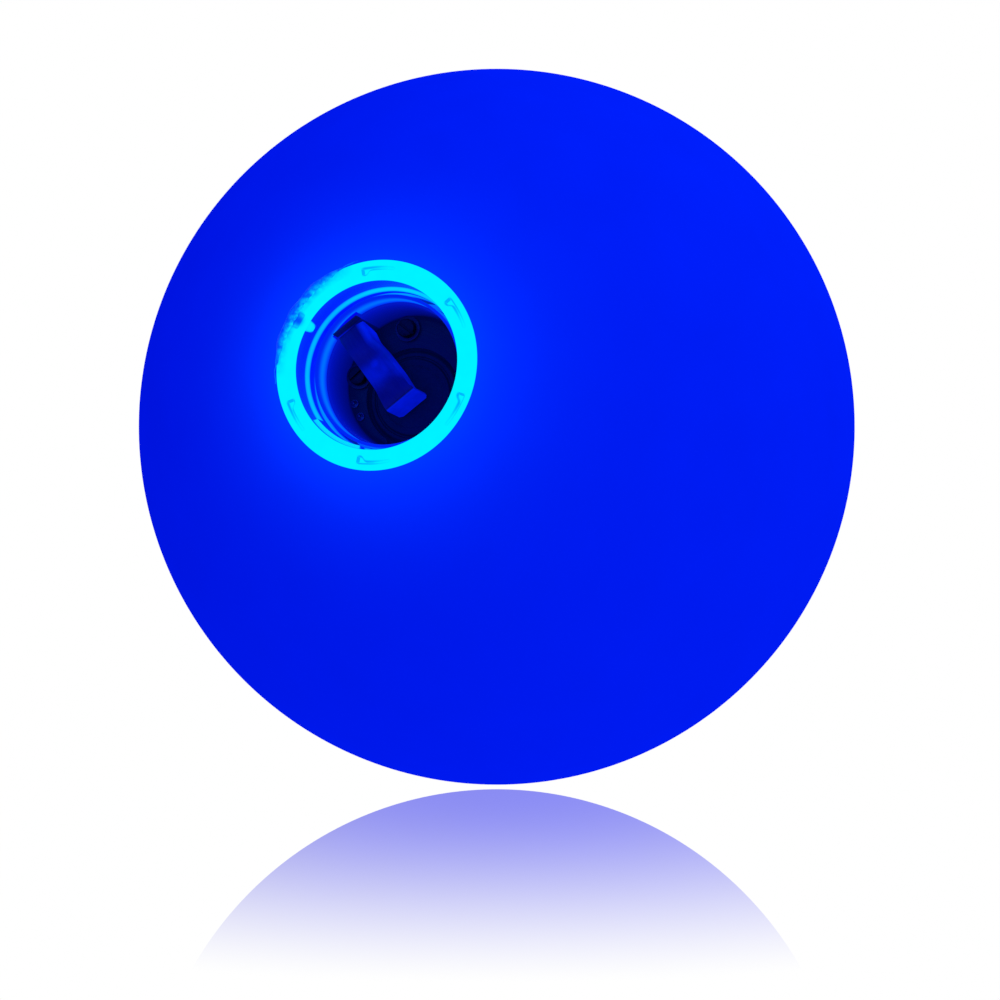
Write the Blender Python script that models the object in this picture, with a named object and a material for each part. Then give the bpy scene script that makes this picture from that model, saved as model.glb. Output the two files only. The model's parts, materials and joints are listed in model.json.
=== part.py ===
"""Light-up croquet ball: a cast ball, a threaded port and a light module that lifts out of the port.

The origin is the ball's centre and +Z is up. The port faces -Y, tipped upwards by PORT_TILT.
Everything in the port is built in the port's own frame: its +Z runs out of the port along the bore,
its +X is the model's +X, and depths are counted inwards from the flat face of the port's rim.
"""

from math import asin, atan2, cos, pi, radians, sin, sqrt

import bmesh
import bpy
from mathutils import Matrix, Vector

MM = 0.001
GAP = 0.3 * MM
SMALL_GAP = 0.2 * MM
MERGE_DISTANCE = 0.001 * MM
SHARP_ANGLE = radians(35)
TOOL_OVERRUN = 1.0 * MM

# Ball
BALL_RADIUS = 46.0 * MM
PORT_TILT = radians(15)
BALL_SEGMENTS = 48
BALL_ROW_ANGLE = radians(7.5)

# Threaded sleeve, bonded into the ball
RIM_RADIUS = 12.7 * MM
RIM_THICKNESS = 2.5 * MM
SLEEVE_RADIUS = 11.6 * MM
SLEEVE_BORE = 10.2 * MM
SLEEVE_LENGTH = 15.3 * MM
LEDGE_RADIUS = 8.7 * MM
LEDGE_THICKNESS = 1.0 * MM
RIM_CHAMFER = 0.25 * MM
THREAD_CREST = 9.6 * MM
THREAD_PITCH = 3.2 * MM
THREAD_TURNS = 1.7
THREAD_START_ANGLE = radians(275)
THREAD_START_DEPTH = 3.1 * MM
THREAD_ROOT_WIDTH = 1.9 * MM
THREAD_CREST_WIDTH = 1.1 * MM
THREAD_EMBED = 0.4 * MM
BLOCK_START = radians(222)
BLOCK_SWEEP = radians(40)
BLOCK_RADIUS = 9.7 * MM
BLOCK_TOP_DEPTH = 0.8 * MM
BLOCK_LOW_DEPTH = 3.3 * MM
RECESS_COUNT = 6
RECESS_FIRST_ANGLE = radians(34)
RECESS_SWEEP = radians(20)
RECESS_INNER = 11.05 * MM
RECESS_OUTER = 11.9 * MM
RECESS_DEPTH = 0.4 * MM
GATE_RECESS = 3
GATE_SWEEP = radians(9)
GATE_INNER = 11.3 * MM
GATE_OUTER = 12.1 * MM
NUB_ANGLE = radians(154)
NUB_SWEEP = radians(7)
NUB_RADIUS = 9.45 * MM
NUB_HEIGHT = 0.9 * MM

# Dried glue over the joint between the rim and the ball
GLUE_START = radians(112)
GLUE_SWEEP = radians(72)
GLUE_INNER = 12.2 * MM
GLUE_OUTER = 13.1 * MM
GLUE_THICKNESS = 0.2 * MM

# Clear collar over the cup's rim
COLLAR_BORE = 8.93 * MM
COLLAR_TOP_DEPTH = 3.8 * MM
COLLAR_LOW_DEPTH = 6.5 * MM
COLLAR_CHAMFER = 0.12 * MM
COLLAR_NOTCH_DEPTH = 4.75 * MM
COLLAR_NOTCH_REACH = 3.0 * MM

# Battery housing: a cup in the port and, below it, an offset tube for the stack of cells
CUP_RADIUS = 9.3 * MM
CUP_WALL = 0.65 * MM
CUP_RIM_DEPTH = 6.95 * MM
CUP_FLOOR_DEPTH = 13.0 * MM
CUP_FLOOR_THICKNESS = 1.0 * MM
CELL_CENTRE = Vector((0.6 * MM, -1.8 * MM))
TUBE_WALL = 0.5 * MM
TUBE_END_DEPTH = 29.5 * MM
SCREW_CIRCLE = 6.55 * MM
SCREW_ANGLES = {"cup_screw_left": radians(176), "cup_screw_right": radians(97)}
BOSS_RADIUS = 1.5 * MM
BOSS_LENGTH = 2.6 * MM
LEAD_CIRCLE = 7.45 * MM
LEAD_ANGLES = {"negative": radians(203), "positive": radians(217)}

# Button cells
CELL_RADIUS = 5.8 * MM
CELL_HEIGHT = 5.2 * MM
CELL_COUNT = 3
CELL_TOP_DEPTH = 11.65 * MM
CELL_CAP_RADIUS = 4.9 * MM
CELL_CAP_HEIGHT = 0.3 * MM
CELL_EDGE = 0.3 * MM

# Contact board in the cup
BOARD_THICKNESS = 1.0 * MM
CONTACT_BOARD_DEPTH = 11.7 * MM
CONTACT_BOARD_RADIUS = 8.0 * MM
CELL_OPENING_RADIUS = CELL_RADIUS + 0.25 * MM
CELL_GATE = (8.0 * MM, 9.0 * MM)
SOLDER_RADIUS = 0.5 * MM
SOLDER_HEIGHT = 0.45 * MM

# Screws and washers
WASHER_RADIUS = 1.6 * MM
WASHER_THICKNESS = 0.25 * MM
SCREW_HEAD_RADIUS = 1.15 * MM
SCREW_HEAD_HEIGHT = 0.6 * MM
SCREW_SHANK_RADIUS = 0.55 * MM
SCREW_LENGTH = 5.0 * MM
SCREW_SLOT_WIDTH = 0.35 * MM
SCREW_SLOT_DEPTH = 0.35 * MM

# Battery clip, a bent spring strip
CLIP_ROOT = Vector((-6.3 * MM, 5.3 * MM))
CLIP_TIP = Vector((1.15 * MM, -3.2 * MM))
CLIP_DEPTH = 6.3 * MM
CLIP_SHEET = 0.35 * MM
CLIP_LEG = 5.05 * MM
CLIP_SLOPE_WIDTH = 1.3 * MM
CLIP_LEG_WIDTH = 4.3 * MM
CLIP_LEG_INSET = 0.05 * MM
LUG_WIDTH = 3.7 * MM
LUG_LENGTH = 0.25 * MM
LUG_TOP_DEPTH = 5.3 * MM
PAD_WIDTH = 1.0 * MM
PAD_LENGTH = 1.8 * MM

# Light unit under the tube
LED_BOARD_DEPTH = 29.8 * MM
LED_BOARD_RADIUS = 8.3 * MM
LED_COUNT = 4
LED_CIRCLE = 3.7 * MM
LED_RADIUS = 1.5 * MM
LED_LENGTH = 4.2 * MM
LED_FLANGE_RADIUS = 1.68 * MM
LED_FLANGE_HEIGHT = 0.8 * MM
CHIP_SIZE = (2.0 * MM, 2.8 * MM, 1.0 * MM)
RESISTOR_SIZE = (1.2 * MM, 3.0 * MM, 0.8 * MM)
RESISTOR_BEVEL = 0.15 * MM
BOARD_PART_OFFSET = 5.9 * MM
IMPACT_POST_RADIUS = 0.35 * MM
LEAD_BOW = 0.15 * MM
DOME_RADIUS = 8.3 * MM
DOME_WALL = 0.9 * MM
CONTACT_SPRING_RADIUS = 3.0 * MM
CONTACT_SPRING_WIRE = 0.2 * MM
CONTACT_SPRING_TURNS = 2.5
IMPACT_SPRING_RADIUS = 1.0 * MM
IMPACT_SPRING_WIRE = 0.14 * MM
IMPACT_SPRING_TURNS = 6
IMPACT_SPRING_LENGTH = 4.0 * MM
LEAD_RADIUS = 0.35 * MM

RIM_PLANE = sqrt(BALL_RADIUS**2 - RIM_RADIUS**2)
CUP_BORE = CUP_RADIUS - CUP_WALL
POCKET_RADIUS = CELL_RADIUS + SMALL_GAP
TUBE_RADIUS = POCKET_RADIUS + TUBE_WALL
CUP_BOTTOM_DEPTH = CUP_FLOOR_DEPTH + CUP_FLOOR_THICKNESS
MODULE_BORE = LEDGE_RADIUS + SMALL_GAP
DOME_DEPTH = LED_BOARD_DEPTH + BOARD_THICKNESS + GAP


def height(depth):
    """Height in the port's frame of a depth below the rim's face."""
    return RIM_PLANE - depth


def polar(radius, angle):
    """A point in the port's plane."""
    return Vector((radius * cos(angle), radius * sin(angle)))


def clear_scene():
    for item in list(bpy.data.objects):
        bpy.data.objects.remove(item)


def make_material(name, colour, roughness, metallic=0.0, glow=0.0):
    material = bpy.data.materials.new(name)
    material.use_nodes = True
    shader = material.node_tree.nodes["Principled BSDF"]
    shader.inputs["Base Color"].default_value = (*colour, 1.0)
    shader.inputs["Roughness"].default_value = roughness
    shader.inputs["Metallic"].default_value = metallic
    shader.inputs["Emission Color"].default_value = (*colour, 1.0)
    shader.inputs["Emission Strength"].default_value = glow
    material.diffuse_color = (*colour, 1.0)
    return material


def make_materials():
    return {
        "ball": make_material("glowing_polyurethane", (0.0, 0.02, 0.9), 0.35, glow=1.0),
        "sleeve": make_material("translucent_nylon", (0.0, 0.85, 1.0), 0.3, glow=1.0),
        "glue": make_material("dried_adhesive", (0.0, 0.6, 1.0), 0.2, glow=0.8),
        "black": make_material("black_abs", (0.01, 0.01, 0.015), 0.45),
        "board": make_material("black_solder_mask", (0.008, 0.01, 0.012), 0.35),
        "clip": make_material("nickel_plated_strip", (0.62, 0.62, 0.66), 0.28, metallic=1.0),
        "cell": make_material("cell_steel", (0.7, 0.7, 0.72), 0.18, metallic=1.0),
        "screw": make_material("blackened_steel", (0.05, 0.05, 0.055), 0.35, metallic=1.0),
        "washer": make_material("zinc_washer", (0.5, 0.5, 0.52), 0.35, metallic=1.0),
        "solder": make_material("solder", (0.66, 0.66, 0.68), 0.3, metallic=1.0),
        "spring": make_material("spring_wire", (0.7, 0.68, 0.62), 0.25, metallic=1.0),
        "led": make_material("clear_led_epoxy", (0.1, 0.3, 1.0), 0.08, glow=1.0),
        "dome": make_material("frosted_dome", (0.75, 0.85, 1.0), 0.5),
        "red": make_material("red_insulation", (0.5, 0.02, 0.02), 0.45),
        "blue": make_material("dark_insulation", (0.015, 0.015, 0.02), 0.45),
        "resistor": make_material("resistor_body", (0.55, 0.42, 0.28), 0.5),
        "chip": make_material("moulded_chip", (0.02, 0.02, 0.022), 0.55),
    }


def add_object(name, data, material, parent):
    """Links a mesh or curve under its parent, with its material."""
    item = bpy.data.objects.new(name, data)
    bpy.context.scene.collection.objects.link(item)
    item.parent = parent
    if material:
        data.materials.append(material)
    return item


def add_empty(name, parent, location=(0, 0, 0), rotation=(0, 0, 0)):
    empty = bpy.data.objects.new(name, None)
    bpy.context.scene.collection.objects.link(empty)
    empty.parent = parent
    empty.location = location
    empty.rotation_euler = rotation
    return empty


def finish_solid(name, bm, material, parent):
    """Closes the mesh, points its faces outwards and shades its round faces smooth."""
    bmesh.ops.remove_doubles(bm, verts=bm.verts[:], dist=MERGE_DISTANCE)
    bmesh.ops.recalc_face_normals(bm, faces=bm.faces[:])
    mesh = bpy.data.meshes.new(name)
    bm.to_mesh(mesh)
    bm.free()
    mesh.shade_smooth()
    mesh.set_sharp_from_angle(angle=SHARP_ANGLE)
    return add_object(name, mesh, material, parent)


def turn(name, profile, segments, material, parent, ring=False):
    """Turns a profile of (radius, height) points about Z. A ring's profile is a closed outline."""
    bm = bmesh.new()
    points = [bm.verts.new((radius, 0, level)) for radius, level in profile]
    edges = [bm.edges.new(pair) for pair in zip(points, points[1:])]
    if ring:
        edges.append(bm.edges.new((points[-1], points[0])))
    bmesh.ops.spin(
        bm,
        geom=points + edges,
        axis=(0, 0, 1),
        cent=(0, 0, 0),
        angle=2 * pi,
        steps=segments,
        use_merge=True,
    )
    return finish_solid(name, bm, material, parent)


def sweep_outline(name, outline, start, sweep, steps, material, parent, drop=0.0):
    """Sweeps an outline of (radius, height) points part of the way round Z, dropping as it goes."""
    bm = bmesh.new()
    corners = [bm.verts.new((radius, 0, level)) for radius, level in outline]
    bm.faces.new(corners)
    bmesh.ops.rotate(bm, verts=bm.verts[:], cent=(0, 0, 0), matrix=Matrix.Rotation(start, 3, "Z"))
    bmesh.ops.spin(
        bm,
        geom=bm.verts[:] + bm.edges[:] + bm.faces[:],
        axis=(0, 0, 1),
        cent=(0, 0, 0),
        dvec=(0, 0, -drop / steps),
        angle=sweep,
        steps=steps,
    )
    return finish_solid(name, bm, material, parent)


def rectangle(inner, outer, low, high):
    """Outline of a rectangle in the (radius, height) plane."""
    return [(inner, low), (outer, low), (outer, high), (inner, high)]


def box(name, size, centre, material, parent, angle=0.0, bevel=0.0):
    bm = bmesh.new()
    bmesh.ops.create_cube(bm, size=1.0)
    bmesh.ops.scale(bm, verts=bm.verts[:], vec=size)
    if bevel:
        bmesh.ops.bevel(bm, geom=bm.edges[:], offset=bevel, segments=1, affect="EDGES")
    item = finish_solid(name, bm, material, parent)
    item.location = centre
    item.rotation_euler = (0, 0, angle)
    return item


def rod(name, radius, low, high, segments, material, parent, at=(0, 0)):
    """A plain round rod along Z."""
    item = turn(name, [(0, low), (radius, low), (radius, high), (0, high)], segments, material, parent)
    item.location = (at[0], at[1], 0)
    return item


def bent_wire(name, points, radius, material, parent, resolution=1):
    """A round wire through the points, with closed ends."""
    curve = bpy.data.curves.new(name, "CURVE")
    curve.dimensions = "3D"
    curve.bevel_depth = radius
    curve.bevel_resolution = resolution
    curve.use_fill_caps = True
    spline = curve.splines.new("POLY")
    spline.points.add(len(points) - 1)
    for point, place in zip(spline.points, points):
        point.co = (*place, 1.0)
    return add_object(name, curve, material, parent)


def combine(target, tool, operation):
    """Adds or cuts a tool, which then only guides the target's shape."""
    modifier = target.modifiers.new(tool.name, "BOOLEAN")
    modifier.operation = operation
    modifier.object = tool
    tool.hide_render = True
    tool.display_type = "WIRE"


def make_ball(materials, parent):
    """Solid cast ball with one blind, stepped pocket."""
    flange_bore = RIM_RADIUS + GAP
    port_angle = asin(flange_bore / BALL_RADIUS)
    rows = int(pi / BALL_ROW_ANGLE)
    profile = [(0, -BALL_RADIUS)]
    for row in range(1, rows):
        angle = pi - row * BALL_ROW_ANGLE
        if angle > port_angle + BALL_ROW_ANGLE / 4:
            profile.append((BALL_RADIUS * sin(angle), BALL_RADIUS * cos(angle)))
    profile += [
        (flange_bore, BALL_RADIUS * cos(port_angle)),
        (flange_bore, height(RIM_THICKNESS + GAP)),
        (SLEEVE_RADIUS + GAP, height(RIM_THICKNESS + GAP)),
        (SLEEVE_RADIUS + GAP, height(SLEEVE_LENGTH + GAP)),
        (MODULE_BORE, height(SLEEVE_LENGTH + GAP)),
    ]
    dome_steps = 5
    for step in range(dome_steps + 1):
        angle = step * pi / 2 / dome_steps
        profile.append((MODULE_BORE * cos(angle), height(DOME_DEPTH) - MODULE_BORE * sin(angle)))
    profile[-1] = (0, profile[-1][1])
    turn("ball_body", profile, BALL_SEGMENTS, materials["ball"], parent)


def make_sleeve(materials, parent):
    """Threaded insert: flat rim with arc recesses, female thread and a ledge for the light module."""
    outline = [
        (SLEEVE_BORE + RIM_CHAMFER, height(0)),
        (RIM_RADIUS, height(0)),
        (RIM_RADIUS, height(RIM_THICKNESS)),
        (SLEEVE_RADIUS, height(RIM_THICKNESS)),
        (SLEEVE_RADIUS, height(SLEEVE_LENGTH)),
        (LEDGE_RADIUS, height(SLEEVE_LENGTH)),
        (LEDGE_RADIUS, height(SLEEVE_LENGTH - LEDGE_THICKNESS)),
        (SLEEVE_BORE, height(SLEEVE_LENGTH - LEDGE_THICKNESS)),
        (SLEEVE_BORE, height(RIM_CHAMFER)),
    ]
    sleeve = turn("socket_sleeve", outline, BALL_SEGMENTS, materials["sleeve"], parent, ring=True)
    embedded = SLEEVE_BORE + THREAD_EMBED
    middle = height(THREAD_START_DEPTH)
    slope = (THREAD_ROOT_WIDTH - THREAD_CREST_WIDTH) / 2 / (SLEEVE_BORE - THREAD_CREST)
    flank = slope * (embedded - THREAD_CREST)
    thread_outline = [
        (THREAD_CREST, middle - THREAD_CREST_WIDTH / 2),
        (embedded, middle - THREAD_CREST_WIDTH / 2 - flank),
        (embedded, middle + THREAD_CREST_WIDTH / 2 + flank),
        (THREAD_CREST, middle + THREAD_CREST_WIDTH / 2),
    ]
    thread = sweep_outline(
        "thread_guide",
        thread_outline,
        THREAD_START_ANGLE,
        -2 * pi * THREAD_TURNS,
        int(BALL_SEGMENTS * THREAD_TURNS),
        None,
        parent,
        drop=THREAD_PITCH * THREAD_TURNS,
    )
    combine(sleeve, thread, "UNION")
    block = sweep_outline(
        "block_guide",
        rectangle(BLOCK_RADIUS, embedded, height(BLOCK_LOW_DEPTH), height(BLOCK_TOP_DEPTH)),
        BLOCK_START,
        BLOCK_SWEEP,
        5,
        None,
        parent,
    )
    combine(sleeve, block, "UNION")
    nub = sweep_outline(
        "nub_guide",
        rectangle(NUB_RADIUS, embedded, height(NUB_HEIGHT + RIM_CHAMFER), height(RIM_CHAMFER)),
        NUB_ANGLE - NUB_SWEEP / 2,
        NUB_SWEEP,
        2,
        None,
        parent,
    )
    combine(sleeve, nub, "UNION")
    for number in range(RECESS_COUNT):
        centre = RECESS_FIRST_ANGLE + number * 2 * pi / RECESS_COUNT
        inner, outer, sweep = RECESS_INNER, RECESS_OUTER, RECESS_SWEEP
        if number + 1 == GATE_RECESS:
            inner, outer, sweep = GATE_INNER, GATE_OUTER, GATE_SWEEP
        recess = sweep_outline(
            f"recess_guide_{number + 1}",
            rectangle(inner, outer, height(RECESS_DEPTH), height(-RECESS_DEPTH)),
            centre - sweep / 2,
            sweep,
            4,
            None,
            parent,
        )
        combine(sleeve, recess, "DIFFERENCE")


def make_glue(materials, parent):
    """A thin film of dried glue over part of the joint between the rim and the ball."""
    low = height(-SMALL_GAP)
    outline = [
        (GLUE_INNER, low),
        (GLUE_OUTER, low),
        (GLUE_OUTER - GLUE_THICKNESS, low + GLUE_THICKNESS),
        (GLUE_INNER + GLUE_THICKNESS, low + GLUE_THICKNESS),
    ]
    sweep_outline("glue_bead", outline, GLUE_START, GLUE_SWEEP, 10, materials["glue"], parent)


def make_collar(materials, parent):
    """Clear collar that seats on the cup's rim, notched from below round the housing's lug."""
    outline = [
        (COLLAR_BORE, height(COLLAR_LOW_DEPTH)),
        (CUP_RADIUS, height(COLLAR_LOW_DEPTH)),
        (CUP_RADIUS, height(COLLAR_TOP_DEPTH)),
        (COLLAR_BORE + COLLAR_CHAMFER, height(COLLAR_TOP_DEPTH)),
        (COLLAR_BORE, height(COLLAR_TOP_DEPTH + COLLAR_CHAMFER)),
    ]
    collar = turn("cup_collar", outline, BALL_SEGMENTS, materials["sleeve"], parent, ring=True)
    along = clip_direction()
    reach = COLLAR_NOTCH_REACH
    notch_height = 2 * (COLLAR_LOW_DEPTH - COLLAR_NOTCH_DEPTH)
    notch = box(
        "collar_notch_guide",
        (reach, LUG_WIDTH + 2 * GAP, notch_height),
        (*(CLIP_ROOT - along * reach / 2), height(COLLAR_NOTCH_DEPTH) - notch_height / 2),
        None,
        parent,
        angle=atan2(along.y, along.x),
    )
    combine(collar, notch, "DIFFERENCE")


def make_housing(materials, parent):
    """Black cup with an offset tube for the cells, two screw bosses, and a lug and a pad under the clip."""
    outline = [
        (0, height(CUP_BOTTOM_DEPTH)),
        (CUP_RADIUS, height(CUP_BOTTOM_DEPTH)),
        (CUP_RADIUS, height(CUP_RIM_DEPTH)),
        (CUP_BORE, height(CUP_RIM_DEPTH)),
        (CUP_BORE, height(CUP_FLOOR_DEPTH)),
        (0, height(CUP_FLOOR_DEPTH)),
    ]
    housing = turn("battery_housing", outline, BALL_SEGMENTS, materials["black"], parent)
    overlap = CUP_FLOOR_THICKNESS / 2
    tube_top = height(CUP_BOTTOM_DEPTH - overlap)
    tube = rod("tube_guide", TUBE_RADIUS, height(TUBE_END_DEPTH), tube_top, 36, None, parent, CELL_CENTRE)
    combine(housing, tube, "UNION")
    boss_low = height(CUP_BOTTOM_DEPTH + BOSS_LENGTH)
    for name, angle in SCREW_ANGLES.items():
        at = polar(SCREW_CIRCLE, angle)
        boss = rod(f"boss_guide_{name}", BOSS_RADIUS, boss_low, tube_top, 16, None, parent, at)
        combine(housing, boss, "UNION")
    along = clip_direction()
    pad_top = height(CLIP_DEPTH + CLIP_SHEET + GAP)
    block_low = height(CUP_FLOOR_DEPTH + overlap)
    blocks = {
        "lug": (LUG_LENGTH, LUG_WIDTH, -GAP - LUG_LENGTH / 2, height(LUG_TOP_DEPTH)),
        "pad": (PAD_LENGTH, PAD_WIDTH, PAD_LENGTH / 2, pad_top),
    }
    for name, (length, width, offset, block_top) in blocks.items():
        block = box(
            f"{name}_guide",
            (length, width, block_top - block_low),
            (*(CLIP_ROOT + along * offset), (block_top + block_low) / 2),
            None,
            parent,
            angle=atan2(along.y, along.x),
        )
        combine(housing, block, "UNION")
    pocket = rod(
        "pocket_guide",
        POCKET_RADIUS,
        height(TUBE_END_DEPTH) - TOOL_OVERRUN,
        height(CUP_FLOOR_DEPTH) + TOOL_OVERRUN,
        36,
        None,
        parent,
        CELL_CENTRE,
    )
    combine(housing, pocket, "DIFFERENCE")
    for name, angle in SCREW_ANGLES.items():
        at = polar(SCREW_CIRCLE, angle)
        hole = rod(
            f"hole_guide_{name}",
            SCREW_SHANK_RADIUS + SMALL_GAP,
            boss_low - TOOL_OVERRUN,
            height(CUP_FLOOR_DEPTH) + TOOL_OVERRUN,
            12,
            None,
            parent,
            at,
        )
        combine(housing, hole, "DIFFERENCE")
    margin = radians(7)
    first, last = sorted(LEAD_ANGLES.values())
    slot_half = LEAD_RADIUS + SMALL_GAP
    slot = sweep_outline(
        "lead_slot_guide",
        rectangle(
            LEAD_CIRCLE - slot_half,
            LEAD_CIRCLE + slot_half,
            height(CUP_BOTTOM_DEPTH) - TOOL_OVERRUN,
            height(CUP_FLOOR_DEPTH) + TOOL_OVERRUN,
        ),
        first - margin,
        last - first + 2 * margin,
        5,
        None,
        parent,
    )
    combine(housing, slot, "DIFFERENCE")


def make_cells(materials, parent):
    """Stack of button cells in the tube, each with a raised cap on its outer face."""
    for number in range(CELL_COUNT):
        top = height(CELL_TOP_DEPTH + number * (CELL_HEIGHT + SMALL_GAP))
        bottom = top - CELL_HEIGHT
        profile = [
            (0, bottom),
            (CELL_RADIUS - CELL_EDGE, bottom),
            (CELL_RADIUS, bottom + CELL_EDGE),
            (CELL_RADIUS, top - CELL_CAP_HEIGHT - CELL_EDGE),
            (CELL_RADIUS - CELL_EDGE, top - CELL_CAP_HEIGHT),
            (CELL_CAP_RADIUS, top - CELL_CAP_HEIGHT),
            (CELL_CAP_RADIUS - CELL_EDGE, top),
            (0, top),
        ]
        cell = turn(f"button_cell_{number + 1}", profile, 30, materials["cell"], parent)
        cell.location = (*CELL_CENTRE, 0)


def make_contact_board(materials, parent):
    """Black board round the cell, with two solder joints on it."""
    top = height(CONTACT_BOARD_DEPTH)
    bottom = top - BOARD_THICKNESS
    look = materials["board"]
    board = rod("contact_board", CONTACT_BOARD_RADIUS, bottom, top, BALL_SEGMENTS, look, parent)
    low, high = bottom - TOOL_OVERRUN, top + TOOL_OVERRUN
    cell_hole = rod("cell_hole_guide", CELL_OPENING_RADIUS, low, high, 36, None, parent, CELL_CENTRE)
    combine(board, cell_hole, "DIFFERENCE")
    outwards = CELL_CENTRE.normalized()
    gate_length, gate_width = CELL_GATE
    gate_centre = CELL_CENTRE + outwards * gate_length / 2
    gate = box(
        "gate_guide",
        (gate_length, gate_width, 3 * BOARD_THICKNESS),
        (*gate_centre, (top + bottom) / 2),
        None,
        parent,
        angle=atan2(outwards.y, outwards.x),
    )
    combine(board, gate, "DIFFERENCE")
    along = clip_direction()
    end = PAD_LENGTH + GAP
    reach = end + 2 * TOOL_OVERRUN
    notch = box(
        "pad_notch_guide",
        (reach, PAD_WIDTH + 2 * GAP, 3 * BOARD_THICKNESS),
        (*(CLIP_ROOT + along * (end - reach / 2)), (top + bottom) / 2),
        None,
        parent,
        angle=atan2(along.y, along.x),
    )
    combine(board, notch, "DIFFERENCE")
    for name, angle in SCREW_ANGLES.items():
        at = polar(SCREW_CIRCLE, angle)
        radius = SCREW_SHANK_RADIUS + SMALL_GAP
        hole = rod(f"board_hole_{name}", radius, low, high, 12, None, parent, at)
        combine(board, hole, "DIFFERENCE")
    low = top + SMALL_GAP
    for name, angle in LEAD_ANGLES.items():
        profile = [
            (0, low),
            (SOLDER_RADIUS, low),
            (0.8 * SOLDER_RADIUS, low + 0.55 * SOLDER_HEIGHT),
            (0.4 * SOLDER_RADIUS, low + 0.9 * SOLDER_HEIGHT),
            (0, low + SOLDER_HEIGHT),
        ]
        joint = turn(f"solder_joint_{name}", profile, 12, materials["solder"], parent)
        joint.location = (*polar(LEAD_CIRCLE, angle), 0)


def make_screws(materials, parent):
    """Two small slotted screws with washers, which hold the contact board in the cup."""
    washer_low = height(CONTACT_BOARD_DEPTH) + SMALL_GAP
    washer_high = washer_low + WASHER_THICKNESS
    head_low = washer_high + SMALL_GAP
    head_high = head_low + SCREW_HEAD_HEIGHT
    for name, angle in SCREW_ANGLES.items():
        at = polar(SCREW_CIRCLE, angle)
        hole = SCREW_SHANK_RADIUS + SMALL_GAP
        washer = turn(
            name.replace("screw", "washer"),
            rectangle(hole, WASHER_RADIUS, washer_low, washer_high),
            20,
            materials["washer"],
            parent,
            ring=True,
        )
        washer.location = (*at, 0)
        profile = [
            (0, head_low - SCREW_LENGTH),
            (0.5 * SCREW_SHANK_RADIUS, head_low - SCREW_LENGTH),
            (SCREW_SHANK_RADIUS, head_low - SCREW_LENGTH + SCREW_SHANK_RADIUS),
            (SCREW_SHANK_RADIUS, head_low),
            (SCREW_HEAD_RADIUS, head_low),
            (SCREW_HEAD_RADIUS, head_low + 0.5 * SCREW_HEAD_HEIGHT),
            (0.75 * SCREW_HEAD_RADIUS, head_high),
            (0, head_high),
        ]
        screw = turn(name, profile, 16, materials["screw"], parent)
        screw.location = (*at, 0)
        slot = box(
            f"slot_guide_{name}",
            (3 * SCREW_HEAD_RADIUS, SCREW_SLOT_WIDTH, 2 * SCREW_SLOT_DEPTH),
            (*at, head_high),
            None,
            parent,
            angle=angle + radians(50),
        )
        combine(screw, slot, "DIFFERENCE")


def clip_direction():
    """Unit vector along the clip, from its root to its leg."""
    return (CLIP_TIP - CLIP_ROOT).normalized()


def make_clip(materials, pivot):
    """Kinked strip with a side flange and a leg bent down onto the outer cell.

    The clip's own frame has its origin at the root's end, +X along the strip and +Z out of the port.
    """
    length = (CLIP_TIP - CLIP_ROOT).length
    sheet = CLIP_SHEET
    # distance along the strip, rise of its top, half width on each side, drop of the sloped
    # shoulder, depth of the side flange
    stations = [
        (0.0 * MM, 0.0 * MM, 1.6 * MM, 1.8 * MM, 0.7 * MM, 1.2 * MM),
        (0.3 * MM, 0.0 * MM, 1.8 * MM, 1.8 * MM, 0.8 * MM, 1.3 * MM),
        (0.5 * MM, 0.0 * MM, 1.8 * MM, 1.75 * MM, 0.8 * MM, 3.9 * MM),
        (2.6 * MM, 0.0 * MM, 1.8 * MM, 1.55 * MM, 0.8 * MM, 3.4 * MM),
        (4.8 * MM, -0.4 * MM, 1.85 * MM, 1.9 * MM, 0.6 * MM, 2.6 * MM),
        (8.2 * MM, 0.35 * MM, 1.7 * MM, 2.0 * MM, 0.5 * MM, 2.6 * MM),
        (length - sheet, 0.0 * MM, 2.15 * MM, 2.15 * MM, 0.1 * MM, 2.1 * MM),
    ]
    bm = bmesh.new()
    sections = []
    for distance, rise, right, left, drop, flange in stations:
        fold = left - CLIP_SLOPE_WIDTH
        outline = [
            (-right, rise),
            (-right, rise - sheet),
            (fold, rise - sheet),
            (left - sheet, rise - drop - sheet),
            (left - sheet, -flange),
            (left, -flange),
            (left, rise - drop),
            (fold, rise),
        ]
        sections.append([bm.verts.new((distance, side, level)) for side, level in outline])
    for before, after in zip(sections, sections[1:]):
        for corner in range(len(before)):
            following = (corner + 1) % len(before)
            bm.faces.new((before[corner], before[following], after[following], after[corner]))
    bm.faces.new(sections[0])
    bm.faces.new(sections[-1])
    clip = finish_solid("battery_clip", bm, materials["clip"], pivot)
    leg = box(
        "leg_guide",
        (sheet, CLIP_LEG_WIDTH, CLIP_LEG),
        (length - sheet + CLIP_LEG_INSET, 0, -CLIP_LEG / 2),
        None,
        pivot,
    )
    combine(clip, leg, "UNION")
    for item in (clip, leg):
        item.location.z += sheet


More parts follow.
